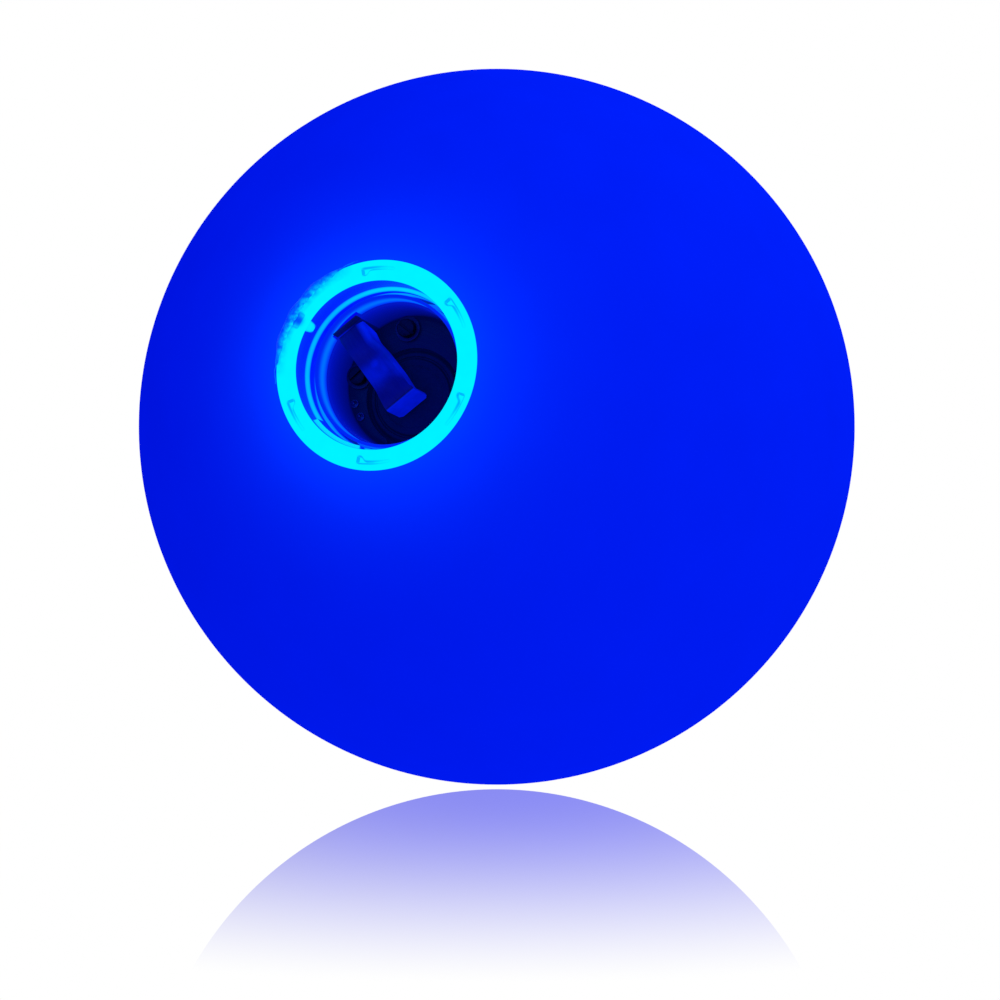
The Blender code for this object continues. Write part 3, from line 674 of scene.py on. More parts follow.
def ball_look():
    """Cast translucent plastic lit from inside, with a brighter halo round the port."""
    look = Look("cast_ball_plastic", roughness=0.42, specular=0.0)
    out = look.math("DIVIDE", look.along(axis_out), look.vector("LENGTH", look.place))
    across = look.math("DIVIDE", look.along((1, 0, 0)), BALL_RADIUS)
    up = look.math("DIVIDE", look.along((0, 0, 1)), BALL_RADIUS)
    corner = look.product(across, up)
    up_squared = look.product(up, up)
    past_rim = look.math("SUBTRACT", look.math("ARCCOSINE", out), asin(RIM_RADIUS / BALL_RADIUS))
    halo = look.fading(look.math("MAXIMUM", past_rim, 0.0), HALO_ANGLE)
    cloud = look.noise(9 * MM, 2)
    grain = look.noise(0.28 * MM, 2)
    variation = look.total((0.05, cloud), (0.05, grain), (0.95, 1.0))
    # Painted light: besides the halo, the glow is brighter towards +X, where across and up share a sign,
    # and towards the top and bottom.
    shares = (1.0, halo, across, corner, up_squared)
    green = look.total(*zip((0.0085, 0.03, 0.0029, 0.0018, 0.0014), shares))
    blue = look.total(*zip((0.775, 0.445, 0.1, 0.043, 0.06), shares))
    look.glow(0.0, look.product(green, variation), look.product(blue, variation))
    look.paint(cloud, (0.0, 0.002, 0.05), (0.0, 0.004, 0.08))
    look.gloss(look.noise(2 * MM), 0.36, 0.5)
    look.bump(look.noise(0.6 * MM, 4), 0.004 * MM)
    return look.material


def clear_plastic(name):
    """A clear plastic's look, and the slow variation of its brightness."""
    look = Look(name, roughness=0.3, specular=0.03)
    cloud = look.noise(1.6 * MM)
    look.paint(cloud, (0.0, 0.03, 0.08), (0.0, 0.05, 0.1))
    look.bump(look.noise(0.35 * MM), 0.004 * MM)
    return look, look.total((0.1, cloud), (0.95, 1.0))


def sleeve_pit_shade_and_glue_dimming(look):
    """Share of the rim's glow that is kept: 1 on open plastic, less in the gate's pit, where shade is
    painted, and dimmer where glue is smeared on the rim's outer edge.
    """
    pit_middle = polar((GATE_INNER + GATE_OUTER) / 2, GATE_ANGLE)
    pit_shade = look.bell(look.vector("DISTANCE", look.flat(), pit_middle), PIT_SHADE_RADIUS, 3.0)
    around = look.towards(GLUE_START + GLUE_SWEEP / 2)
    window = look.remap(around, cos(GLUE_SWEEP * 0.47), cos(GLUE_SWEEP * 0.12))
    outwards = look.remap(look.flat_radius(), 11.4 * MM, 12.6 * MM)
    mottle = look.remap(look.noise(0.8 * MM, 2), 0.35, 0.65, 0.3, 1.0)
    smear = look.product(window, outwards, mottle)
    out_of_pit_shade = look.math("SUBTRACT", 1.0, look.product(pit_shade, 0.92))
    return look.product(out_of_pit_shade, look.math("SUBTRACT", 1.0, smear))


def sleeve_look():
    """Light-piping plastic with painted glow: faces that look out of the port shine cyan, the bore stays
    deep blue, the light fades with depth and is stronger on one side of the bore.
    """
    look, variation = clear_plastic("light_piping_plastic")
    below = look.math("MAXIMUM", look.depth(), 0.0)
    facing = look.facing()
    bright_side = look.remap(look.towards(BRIGHT_ANGLE), 0.3, 0.95, 0.0, 0.6)
    boost = look.product(bright_side, look.remap(below, 0.5 * MM, 2.0 * MM))
    face = look.product(look.math("POWER", facing, 1.2), look.falling(below, 5.0 * MM, 2.0))
    face = look.product(face, sleeve_pit_shade_and_glue_dimming(look), look.math("ADD", boost, 1.0))
    wall = look.fading(below, 2.3 * MM)
    deep = look.product(look.falling(below, 9.5 * MM, 4.0), 1.05)
    green = look.product(look.total((0.86, face), (0.032, wall)), variation)
    look.glow(0.0, green, look.math("MINIMUM", look.math("ADD", deep, facing), 1.0))
    return look.material


def glue_look():
    """Dried clear adhesive, patchy, lit from the sleeve's edge and fading into the ball's blue."""
    look = Look("dried_adhesive", roughness=0.3, specular=0.03)
    fade = look.remap(look.flat_radius(), 12.2 * MM, 13.3 * MM, 1.0, 0.0)
    patches = look.remap(look.noise(0.7 * MM, 2), 0.35, 0.65, 0.2, 1.0)
    green = look.product(look.math("POWER", fade, 1.8), patches)
    look.glow(0.0, look.total((0.75, green), (0.03, 1.0)), 1.0)
    look.paint(patches, (0.0, 0.02, 0.08), (0.0, 0.06, 0.1))
    look.bump(look.noise(0.5 * MM), 0.02 * MM)
    return look.material


def collar_look():
    """The sleeve's plastic, further from the light: a soft band of painted blue glow round the collar's
    bore.
    """
    look, variation = clear_plastic("clear_collar_plastic")
    band = look.bell(look.math("SUBTRACT", look.depth(), BAND_DEPTH), BAND_WIDTH, 2.0)
    green = look.product(look.total((0.15, band), (0.009, 1.0)), variation)
    look.glow(0.0, green, look.total((0.22, band), (0.82, 1.0)))
    return look.material


def black_plastic(name):
    look = Look(name, specular=0.4)
    sizes = (3 * MM, 0.9 * MM, 0.12 * MM)
    look.finish((0.035, 0.037, 0.045), (0.055, 0.058, 0.068), sizes, (0.38, 0.56), 0.012 * MM, 4)
    return look


def cup_look():
    """Black moulded plastic whose upper edge catches the glow of the sleeve round it; this glow, and a
    faint even blue glow over the whole cup, are painted light.
    """
    look = black_plastic("black_cup_plastic")
    below = look.math("SUBTRACT", level(CUP_RIM_DEPTH), look.along((0, 0, 1)))
    fall = look.fading(look.math("MAXIMUM", below, 0.0), 5.0 * MM)
    over_rim = look.remap(below, -0.5 * MM, -0.1 * MM, 0.12, 1.0)
    wall = look.remap(look.flat_radius(), CUP_RADIUS - 1.4 * CUP_WALL, CUP_RADIUS - CUP_WALL)
    above_floor = look.math("LESS_THAN", below, CUP_FLOOR_DEPTH - CUP_RIM_DEPTH)
    lit = look.product(fall, over_rim, wall, above_floor)
    look.glow(0.0, look.total((0.0042, lit), (0.0009, 1.0)), look.total((0.46, lit), (0.03, 1.0)))
    return look.material


def metal(name):
    """Metal with fine drawn or brushed lines along one direction and slow tarnish."""
    dark, light, line_size, stretch, rough = METALS[name]
    look = Look(name, metallic=1.0)
    lines = look.noise(line_size, 4, 0.65, stretch)
    tarnish = look.noise(2.5 * MM)
    share = look.total((0.5, lines), (0.5, tarnish))
    look.paint(look.remap(share, 0.35, 0.65), dark, light)
    look.gloss(look.total((0.6, lines), (0.4, tarnish)), *rough)
    look.bump(lines, 0.004 * MM)
    return look


def clip_look():
    """Nickel-plated strip that picks up the blue light of the port's walls, each bend in its own way."""
    look = metal("nickel_strip")
    normal = look.add("TexCoord")["Normal"]

    def turned_to(direction, low, high):
        return look.remap(look.vector("DOT_PRODUCT", normal, direction), low, high)

    def patch(distance, width):
        return look.bell(look.math("SUBTRACT", look.along((1, 0, 0)), distance), width, 3.0)

    # Painted highlights on the weld spot, the shoulder and the strip's end, and painted light of its own on
    # the top, the side and the leg.
    weld_highlight = look.bell(look.vector("DISTANCE", look.flat(), (CLIP_WELD, 0, 0)), 0.5 * MM, 4.0)
    shoulder, end = patch(3.0 * MM, 1.0 * MM), patch(6.4 * MM, 1.7 * MM)
    top = look.total((0.11, 1.0), (0.04, shoulder), (0.29, end), (0.15, weld_highlight))
    side = look.total((0.36, 1.0), (0.34, patch(0.6 * MM, 2.0 * MM)), (0.16, patch(7.2 * MM, 1.5 * MM)))
    top = look.product(top, turned_to((0, 0, 1), 0.86, 0.97))
    side = look.product(side, turned_to((0, 1, 0), 0.25, 0.6))
    leg = turned_to((1, 0, 0), 0.5, 0.8)
    cloud = look.remap(look.noise(2.0 * MM), 0.3, 0.7, 0.85, 1.15)
    light = look.product(look.total((1.0, top), (1.0, side), (0.53, leg)), cloud)
    look.glow(0.0, look.product(light, 0.011), light)
    return look.material


def board_look():
    """Black solder mask over faint copper tracks, round the board's middle."""
    look = Look("black_solder_mask")
    ring = look.math("FRACT", look.math("DIVIDE", look.flat_radius(), TRACK_PITCH))
    copper = look.math("GREATER_THAN", ring, 0.62)
    cloud = look.noise(1.2 * MM)
    mask = look.blend(cloud, (0.02, 0.024, 0.03), (0.035, 0.04, 0.05))
    look.paint(look.product(copper, 0.5), mask, (0.05, 0.05, 0.045))
    look.gloss(cloud, 0.25, 0.42)
    look.glow(*BAY_GLOW)
    look.bump(copper, 0.03 * MM)
    look.bump(look.noise(0.2 * MM), 0.006 * MM)
    return look.material


def insulation_look(name, dark, light):
    look = Look(name, specular=0.4)
    look.finish(dark, light, (1.5 * MM, 0.4 * MM, 0.25 * MM), (0.35, 0.55), 0.01 * MM)
    return look.material


def resistor_look():
    look = Look("resistor_ceramic", specular=0.3)
    sizes = (0.5 * MM, 0.3 * MM, 0.2 * MM)
    look.finish((0.42, 0.32, 0.2), (0.6, 0.48, 0.32), sizes, (0.45, 0.65), 0.01 * MM)
    return look.material


def led_look():
    look = Look("lit_led_epoxy", roughness=0.12)
    swirl = look.noise(0.8 * MM, 2)
    look.glow(look.product(swirl, 0.06), look.total((0.3, swirl), (0.25, 1.0)), 1.0)
    look.paint(swirl, (0.1, 0.3, 0.8), (0.2, 0.45, 0.9))
    look.bump(swirl, 0.01 * MM)
    return look.material


def dome_look(led_extents):
    """Frosted plastic, brighter over each LED."""
    look = Look("frosted_diffuser", specular=0.3)
    spots = []
    for extent in led_extents:
        led = (extent.middle.x, extent.middle.y, led_extents[0].low)
        spots.append((1.0, look.bell(look.vector("DISTANCE", look.place, led), LED_SPOT, 2.0)))
    hot = look.math("MINIMUM", look.total(*spots), 1.0)
    frost = look.noise(0.5 * MM, 4)
    green = look.total((0.55, hot), (0.05, frost), (0.05, 1.0))
    blue = look.total((0.45, hot), (0.06, frost), (0.5, 1.0))
    look.glow(look.product(look.math("POWER", hot, 3.0), 0.25), green, blue)
    look.paint(frost, (0.25, 0.35, 0.6), (0.35, 0.45, 0.7))
    look.gloss(frost, 0.45, 0.65)
    look.bump(look.noise(0.15 * MM), 0.01 * MM)
    return look.material


# ---- Pieces ----


def make_ball():
    """The cast ball's outside and its stepped pocket, as one closed turned surface."""
    bore = RIM_RADIUS + SEAM
    edge_angle = asin(bore / BALL_RADIUS)
    angles = [pi - (pi - edge_angle) * part for part in fractions(160)]
    outside = [(BALL_RADIUS * sin(angle), BALL_RADIUS * cos(angle)) for angle in angles]
    outside[0] = (0, -BALL_RADIUS)
    wall = SLEEVE_WALL_RADIUS + SEAM
    module_bore = LEDGE_RADIUS + MODULE_GAP
    step = level(RIM_THICKNESS + SEAM)
    foot = level(SLEEVE_LENGTH + SEAM)
    pocket = [(bore, step), (wall, step), (wall, foot), (module_bore, foot)]
    pocket += round_end(module_bore, level(DOME_DEPTH), 24)
    mesh = turned("ball_shell", outside[:-1] + rounded(outside[-1:] + pocket, 0.05 * MM), 288)
    mesh.transform(PORT)
    add_piece("ball_shell", mesh, ball_look(), "ball_body", PORT_INVERSE)


def thread_rise(angle, depth):
    """How far the female thread and the block at its start stand in from the bore."""
    half_root = THREAD_ROOT_WIDTH / 2
    half_crest = THREAD_CREST_WIDTH / 2
    rise = 0.0
    first = (THREAD_START_ANGLE - angle) % ROUND
    for turn in range(int(THREAD_TURNS) + 1):
        wound = first + turn * ROUND
        left = THREAD_TURNS * ROUND - wound
        if left < 0:
            continue
        middle = THREAD_START_DEPTH + THREAD_PITCH * wound / ROUND
        crest = 1 - smooth_step(abs(depth - middle), half_crest, half_root)
        ends = smooth_step(wound, 0, THREAD_RUN_OUT) * smooth_step(left, 0, THREAD_RUN_OUT)
        rise = max(rise, THREAD_HEIGHT * crest * ends)
    around = angle_apart(angle, BLOCK_START + BLOCK_SWEEP / 2)
    down = depth - (BLOCK_TOP_DEPTH + BLOCK_LOW_DEPTH) / 2
    block = plateau(around, BLOCK_SWEEP / 2, BLOCK_END_SOFTNESS)
    block *= plateau(down, (BLOCK_LOW_DEPTH - BLOCK_TOP_DEPTH) / 2, BLOCK_SOFTNESS)
    return max(rise, BLOCK_HEIGHT * block)


def recess_drop(radius, angle):
    """Depth of the arc-shaped recesses in the rim's face: hooks with a thin, shallow tail."""
    drop = 0.0
    for number in range(1, RECESS_COUNT + 1):
        centre = RECESS_FIRST_ANGLE + (number - 1) * ROUND / RECESS_COUNT
        offset = angle_apart(angle, centre)
        if number == GATE_RECESS:
            inner, outer, sweep, share = GATE_INNER, GATE_OUTER, GATE_SWEEP, 1.0
            middle, half = (inner + outer) / 2, (outer - inner) / 2
        else:
            inner, outer, sweep = RECESS_INNER, RECESS_OUTER, RECESS_SWEEP
            towards_gate = offset / (sweep / 2) * (1 if angle_apart(GATE_ANGLE, centre) > 0 else -1)
            hook = smooth_step(towards_gate, 0.5, 0.85)
            share = TAIL_DEPTH_SHARE + (1 - TAIL_DEPTH_SHARE) * smooth_step(towards_gate, -0.8, 0.7)
            middle = (inner + outer) / 2 + TAIL_SHIFT * (1 - hook)
            half = (outer - inner) / 2 * (TAIL_WIDTH_SHARE + (1 - TAIL_WIDTH_SHARE) * hook)
        across = plateau(radius - middle, half, RECESS_SOFTNESS)
        along = plateau(offset, sweep / 2, RECESS_END_SOFTNESS)
        drop = max(drop, RECESS_DEPTH * across * along * share)
    return drop


def nub_reach(angle, depth):
    """The gate's rounded stub, which stands in from the bore just under the rim's face."""
    part = angle_apart(angle, NUB_ANGLE) / (NUB_SWEEP / 2)
    around = max(0.0, 1 - abs(part) ** 3) ** 0.5
    down = plateau(depth - NUB_HEIGHT / 2 - NUB_TOP_DEPTH, NUB_HEIGHT / 2, NUB_SOFTNESS)
    return NUB_REACH * around * down


def make_sleeve():
    """Rim, bore, thread, gate stub and ledge, as one closed surface with fine rows."""
    edge = SLEEVE_EDGE
    foot = level(SLEEVE_LENGTH)
    step = level(RIM_THICKNESS)
    ledge = level(SLEEVE_LENGTH - LEDGE_THICKNESS)
    bore_low = ledge + 0.3 * MM
    bore_top = level(edge)
    inner_face = SLEEVE_BORE + edge
    outer_face = RIM_RADIUS - edge
    outer_wall = [(outer_face, RIM_PLANE), (RIM_RADIUS, RIM_PLANE), (RIM_RADIUS, step)]
    outer_wall += [(SLEEVE_WALL_RADIUS, step), (SLEEVE_WALL_RADIUS, foot), (LEDGE_RADIUS, foot)]
    outer_wall += [(LEDGE_RADIUS, ledge), (SLEEVE_BORE, ledge), (SLEEVE_BORE, bore_low)]
    bore_edge = [(SLEEVE_BORE, bore_top), (SLEEVE_BORE, RIM_PLANE), (inner_face, RIM_PLANE)]
    profile = [(inner_face + (outer_face - inner_face) * part, RIM_PLANE) for part in fractions(34)]
    profile += rounded(outer_wall, edge)[1:-1]
    profile += [(SLEEVE_BORE, bore_low + (bore_top - bore_low) * part) for part in fractions(118)]
    profile += rounded(bore_edge, edge)[1:-1]

    def move(radius, height, angle):
        depth = RIM_PLANE - height
        if depth < 1e-6 and radius > SLEEVE_BORE + edge / 2:
            return radius, height - recess_drop(radius, angle)
        if radius < SLEEVE_BORE + edge and depth < SLEEVE_LENGTH - LEDGE_THICKNESS - edge:
            return radius - max(thread_rise(angle, depth), nub_reach(angle, depth)), height
        return radius, height

    mesh = turned("threaded_sleeve", profile, 540, closed=True, move=move, sharp=50)
    add_piece("threaded_sleeve", mesh, sleeve_look(), "socket_sleeve")


def glue_floor(radius):
    """Height of the rim's face or, outside it, of the ball's surface."""
    return min(RIM_PLANE, (BALL_RADIUS**2 - radius**2) ** 0.5)


def make_glue():
    """A thin, uneven film of glue over the joint between the rim and the ball."""
    bm = bmesh.new()
    columns = []
    for along in fractions(220):
        angle = GLUE_START + GLUE_SWEEP * along
        ends = smooth_step(along, 0, GLUE_END_SHARE) * smooth_step(1 - along, 0, GLUE_END_SHARE)
        inner_wander = GLUE_WANDER * noise.noise(Vector((angle * 11, 4, 0)))
        outer_wander = GLUE_WANDER * noise.noise(Vector((angle * 7, 0, 3)))
        inner = GLUE_INNER + inner_wander + 0.75 * MM * (1 - ends)
        outer = max(inner + GLUE_LEAST_WIDTH, GLUE_OUTER - 0.5 * MM * (1 - ends) + outer_wander)
        column = []
        for part in fractions(18):
            radius = inner + (outer - inner) * part
            lump = 0.6 + 0.6 * noise.noise(Vector((angle * 16, part * 2.5, 1)))
            thick = GLUE_THICKNESS * lump * (0.15 + 0.85 * ends) * (1 - (2 * part - 1) ** 4)
            column.append(bm.verts.new(polar(radius, angle, glue_floor(radius) + GLUE_LIFT + thick)))
        for radius in (outer, inner):
            column.append(bm.verts.new(polar(radius, angle, glue_floor(outer) - 0.03 * MM)))
        columns.append(column)
    bridge(bm, columns, closed=True)
    add_piece("glue_film", finish_mesh("glue_film", bm, 60), glue_look(), "glue_bead")


def make_collar():
    """Clear collar on the cup's rim, notched from below round the cup's lug."""
    low, high = level(COLLAR_LOW_DEPTH), level(COLLAR_TOP_DEPTH)
    outline = rounded(band(COLLAR_BORE, CUP_RADIUS, low, high), 0.15 * MM, 5, closed=True)
    ring = turned("clear_collar", outline, 240, closed=True)
    notch_top = level(COLLAR_NOTCH_DEPTH)
    notch_low = notch_top - 2 * (notch_top - low)
    width = LUG_SIZE[1] + 2 * NOTCH_GAP
    notch = clip_block("notch", -COLLAR_NOTCH_REACH, 0, width, notch_low, notch_top, 0.15 * MM)
    add_piece("clear_collar", combined("clear_collar", ring, [notch]), collar_look(), "cup_collar")


def screw_holes(low, high):
    middles = [Extent(f"cup_screw_{hand}").middle for hand in SCREW_HANDS]
    return [rod_mesh("hole", SHANK_HOLE_RADIUS, low, high, middle, 0, 32) for middle in middles]


def make_cup(look):
    """Black cup with its tube, screw bosses, clip lug and holes."""
    floor, rim = level(CUP_FLOOR_DEPTH), level(CUP_RIM_DEPTH)
    bottom = floor - CUP_FLOOR_THICKNESS
    inside = CUP_RADIUS - CUP_WALL
    outline = [(0, bottom), (CUP_RADIUS, bottom), (CUP_RADIUS, rim)]
    outline += [(inside, rim), (inside, floor), (0, floor)]
    cup = turned("battery_cup", rounded(outline, CUP_EDGE, 6), 144)
    joint = floor - CUP_FLOOR_THICKNESS / 2
    tube_low = level(TUBE_END_DEPTH)
    boss_low = bottom - BOSS_LENGTH
    pad_top = level(CLIP_DEPTH + CLIP_SHEET + PAD_GAP)
    middle = cell_extent.middle
    solids = [rod_mesh("tube", POCKET_RADIUS + TUBE_WALL, tube_low, joint, middle, 0.15 * MM, 120)]
    for hand in SCREW_HANDS:
        screw = Extent(f"cup_screw_{hand}").middle
        solids.append(rod_mesh("boss", BOSS_RADIUS, boss_low, joint, screw, 0.2 * MM, 48))
    lug_top = level(LUG_TOP_DEPTH)
    solids.append(clip_block("lug", -LUG_GAP - LUG_SIZE[0], -LUG_GAP, LUG_SIZE[1], joint, lug_top))
    solids.append(clip_block("pad", 0, PAD_SIZE[0], PAD_SIZE[1], joint, pad_top))
    cutters = [rod_mesh("pocket", POCKET_RADIUS, tube_low - MM, floor + MM, middle, 0, 120)]
    cutters += screw_holes(boss_low - MM, floor + MM)
    cutters.append(lead_slot_mesh())
    for tool in solids + cutters:
        join_fans(tool)
    add_piece("battery_cup", combined("battery_cup", cup, cutters, solids), look, "battery_housing")


def lead_slot_mesh():
    """Arc-shaped cutter for the slot that both leads pass through."""
    first, last = sorted(Extent(f"lead_{pole}").angle % ROUND for pole in POLES)
    start, sweep = first - LEAD_SLOT_MARGIN, last - first + 2 * LEAD_SLOT_MARGIN
    radius = Extent("solder_joint_positive").middle.length
    low, high = level(CUP_FLOOR_DEPTH + CUP_FLOOR_THICKNESS + MM), level(CUP_FLOOR_DEPTH - MM)
    outline = band(radius - LEAD_SLOT_WIDTH / 2, radius + LEAD_SLOT_WIDTH / 2, low, high)
    bm = bmesh.new()
    angles = [start + sweep * part for part in fractions(14)]
    bridge(bm, [[bm.verts.new(polar(r, angle, z)) for r, z in outline] for angle in angles], closed=True)
    return finish_mesh("lead_slot", bm)


def make_board(look):
    """Round contact board, open round the cell and notched round the clip's lug."""
    top = level(BOARD_DEPTH)
    low = top - BOARD_THICKNESS
    disc = rod_mesh("contact_disc", BOARD_RADIUS, low, top, CENTRE, 0.1 * MM, 144)
    middle = cell_extent.middle
    gate_centre = middle + middle.normalized() * BOARD_GATE[0] / 2 + Vector((0, 0, (top + low) / 2))
    under, over = low - BOARD_THICKNESS, top + BOARD_THICKNESS
    notch_width = PAD_SIZE[1] + 2 * NOTCH_GAP
    cutters = [
        rod_mesh("opening", POCKET_RADIUS + OPENING_GAP, low - MM, top + MM, middle, 0, 120),
        block_mesh("gate", (*BOARD_GATE, over - under), gate_centre, cell_extent.angle),
        clip_block("notch", -BOARD_NOTCH_REACH, PAD_SIZE[0] + NOTCH_GAP, notch_width, under, over),
    ]
    cutters += screw_holes(low - MM, top + MM)
    add_piece("contact_disc", combined("contact_disc", disc, cutters), look, "contact_board")


def clip_measure(column, distance):
    """A clip dimension in metres at a distance along the strip, with its kinks softened."""
    total = 0.0
    samples = fractions(4)
    for part in samples:
        x = (distance + CLIP_KINK_SOFTNESS * (2 * part - 1)) / MM
        x = min(max(x, CLIP_STATIONS[0][0]), CLIP_STATIONS[-1][0])
        for before, after in zip(CLIP_STATIONS, CLIP_STATIONS[1:]):
            if x <= after[0]:
                share = (x - before[0]) / (after[0] - before[0])
                total += before[column] * (1 - share) + after[column] * share
                break
    return total / len(samples) * MM


def clip_section(distance):
    """The strip's cross-section as (across, up) points: flat, sloped shoulder and flange."""
    rise, right, left, drop, flange = [clip_measure(column, distance) for column in (1, 2, 3, 4, 5)]
    fold = left - CLIP_SLOPE_WIDTH
    section = [(-right + (fold + right) * part, rise) for part in fractions(CLIP_COLUMNS["flat"])]
    for part in fractions(CLIP_COLUMNS["slope"])[1:]:
        section.append((fold + (left - fold) * part, rise - drop * smooth_step(part, -0.4, 1.4) * part))
    top = section[-1][1]
    low = min(-flange, rise - drop - 0.1 * MM)
    return section + [(left, top + (low - top) * part) for part in fractions(CLIP_COLUMNS["flange"])[1:]]


def make_clip(look):
    """Bent sheet-metal strip with a side flange and a leg, built as one sheet and then thickened."""
    bm = bmesh.new()
    end = CLIP_LENGTH - CLIP_LEG_INSET
    rows = []
    for part in fractions(64):
        distance = (end - CLIP_RELIEF) * part
        rows.append([bm.verts.new((distance, across, up)) for across, up in clip_section(distance)])
    bridge(bm, rows)
    bend_start = end - CLIP_BEND
    path = [(bend_start, 0.0)]
    for part in fractions(6)[1:]:
        turn = part * QUARTER
        path.append((bend_start + CLIP_BEND * sin(turn), -CLIP_BEND * (1 - cos(turn))))
    path += [(end, -CLIP_BEND - (CLIP_LEG - CLIP_BEND) * part) for part in fractions(14)[1:]]
    columns = CLIP_COLUMNS["flat"] + CLIP_COLUMNS["slope"]
    half_width = clip_measure(2, CLIP_LENGTH)
    leg_rows = [rows[-1][: columns + 1]]
    for x, z in path:
        reach = half_width - CLIP_CORNER * smooth_step(-z, CLIP_LEG - 2 * CLIP_CORNER, CLIP_LEG)
        leg_rows.append([bm.verts.new((x, reach * (2 * part - 1), z)) for part in fractions(columns)])
    bridge(bm, leg_rows)
    bmesh.ops.recalc_face_normals(bm, faces=bm.faces[:])
    if sum(face.normal.z * face.calc_area() for face in bm.faces) < 0:
        bmesh.ops.reverse_faces(bm, faces=bm.faces[:])
    sheet = bpy.data.meshes.new("spring_strip")
    bm.to_mesh(sheet)
    bm.free()
    holder = new_object("spring_strip", sheet)
    thick = holder.modifiers.new("thickness", "SOLIDIFY")
    thick.thickness = CLIP_SHEET
    thick.offset = -1.0
    thick.use_even_offset = True
    edges = holder.modifiers.new("edges", "BEVEL")
    edges.width = 0.05 * MM
    edges.segments = 2
    edges.limit_method = "ANGLE"
    edges.angle_limit = radians(60)
    root = Matrix.Translation(CLIP_ROOT + Vector((0, 0, level(CLIP_DEPTH))))
    place = root @ Matrix.Rotation(CLIP_TURN, 4, "Z")
    add_piece("spring_strip", applied(holder, 50), look, "battery_clip", place)


def make_cells(look):
    """Button cells with a raised cap, a crimped rim and a groove between can and cap."""
    for number in (1, 2, 3):
        name = f"button_cell_{number}"
        extent = Extent(name)
        radius, low, high = extent.radius, extent.low, extent.high
        profile = [(0, low), (radius - CELL_FOOT_INSET, low), (radius, low + CELL_FOOT_HEIGHT)]
        profile += [(radius - inset * MM, high - drop * MM) for inset, drop in CELL_CROWN]
        profile.append((0, profile[-1][1]))
        mesh = turned(name, rounded(profile, 0.12 * MM))
        add_piece(f"coin_cell_{number}", mesh, look, name, extent.place)


def make_screw(hand, look):
    """Slotted pan-head screw with a ridged shank."""
    name = f"cup_screw_{hand}"
    extent = Extent(name)
    radius, low, high = extent.radius, extent.low, extent.high
    neck = high - SCREW_HEAD
    tip = low + SCREW_POINT
    profile = [(0, low), (0.15 * MM, low + 0.05 * MM)]
    for row, part in enumerate(fractions(4 * SCREW_THREAD_TURNS)):
        root = 0.0 if row % 4 == 2 else SCREW_THREAD_HEIGHT
        profile.append((SCREW_SHANK - root, tip + (neck - 0.3 * MM - tip) * part))
    dome_foot = (radius, neck + SCREW_HEAD / 2)
    profile += [(SCREW_SHANK - 0.05 * MM, neck), (radius, neck), dome_foot]
    profile += rounded([dome_foot, (0.93 * radius, high), (0, high)], 0.4 * MM, 6)[1:]
    slot_size = (4 * MM, SCREW_SLOT_WIDTH, 2 * SCREW_SLOT_DEPTH)
    slot = block_mesh("slot", slot_size, Vector((0, 0, high)), extent.angle + SCREW_SLOT_TURN, 0.04 * MM)
    mesh = combined(name, turned(name, profile, 64), [slot])
    add_piece(f"slotted_screw_{hand}", mesh, look, name, extent.place)


def make_washer(hand, look):
    name = f"cup_washer_{hand}"
    extent = Extent(name)
    outline = rounded(band(WASHER_HOLE, extent.radius, extent.low, extent.high), 0.06 * MM, closed=True)
    mesh = turned(name, outline, 72, closed=True)
    add_piece(f"flat_washer_{hand}", mesh, look, name, extent.place)


def make_solder(pole, look):
    """A lumpy cone of solder with a wire's end standing in it."""
    name = f"solder_joint_{pole}"
    extent = Extent(name)
    radius, low, high = extent.radius, extent.low, extent.high
    tall = high - low
    seed = extent.middle.x / MM
    profile = [(0, low), (radius, low), (radius, low + SOLDER_FOOT)]
    for part in fractions(10)[1:]:
        r = WIRE_END_RADIUS + (radius - WIRE_END_RADIUS) * (1 - part) ** 1.7
        profile.append((r, low + 0.8 * tall * part))
    profile += [(0.15 * MM, high - 0.05 * MM), (0.1 * MM, high), (0, high)]

    def lumpy(r, z, angle):
        lump = noise.noise(Vector((cos(angle) * 1.4 + seed, sin(angle) * 1.4, (z - low) / tall * 2)))
        return r * (1 + SOLDER_LUMPS * lump) if r > 0.2 * MM else r, z

    mesh = turned(name, profile, 40, move=lumpy, sharp=60)
    add_piece(f"solder_cone_{pole}", mesh, look, name, extent.place)


def make_lead(pole, look):
    """Insulated lead with a slight bow, from the contact board to the LED board."""
    name = f"lead_{pole}"
    extent = Extent(name)
    joint = Extent(f"solder_joint_{pole}")
    points = []
    for part in fractions(40):
        radius = joint.middle.length + LEAD_BOW * sin(ROUND * part)
        points.append(polar(radius, joint.angle, extent.high + (extent.low - extent.high) * part))
    add_piece(f"wire_{pole}", tube_mesh(name, points, LEAD_RADIUS, 20), look, name)


def make_led(name, look):
    """LED with a flange at its foot and a round lens."""
    extent = Extent(name)
    foot = extent.high - LED_FLANGE_HEIGHT
    lens = extent.radius / LED_FLANGE_RATIO
    profile = [(0, extent.high), (extent.radius, extent.high), (extent.radius, foot), (lens, foot)]
    profile = rounded(profile, 0.1 * MM) + round_end(lens, extent.low + lens, 14)
    add_piece(f"lit_{name}", turned(name, profile, 48), look, name, extent.place)


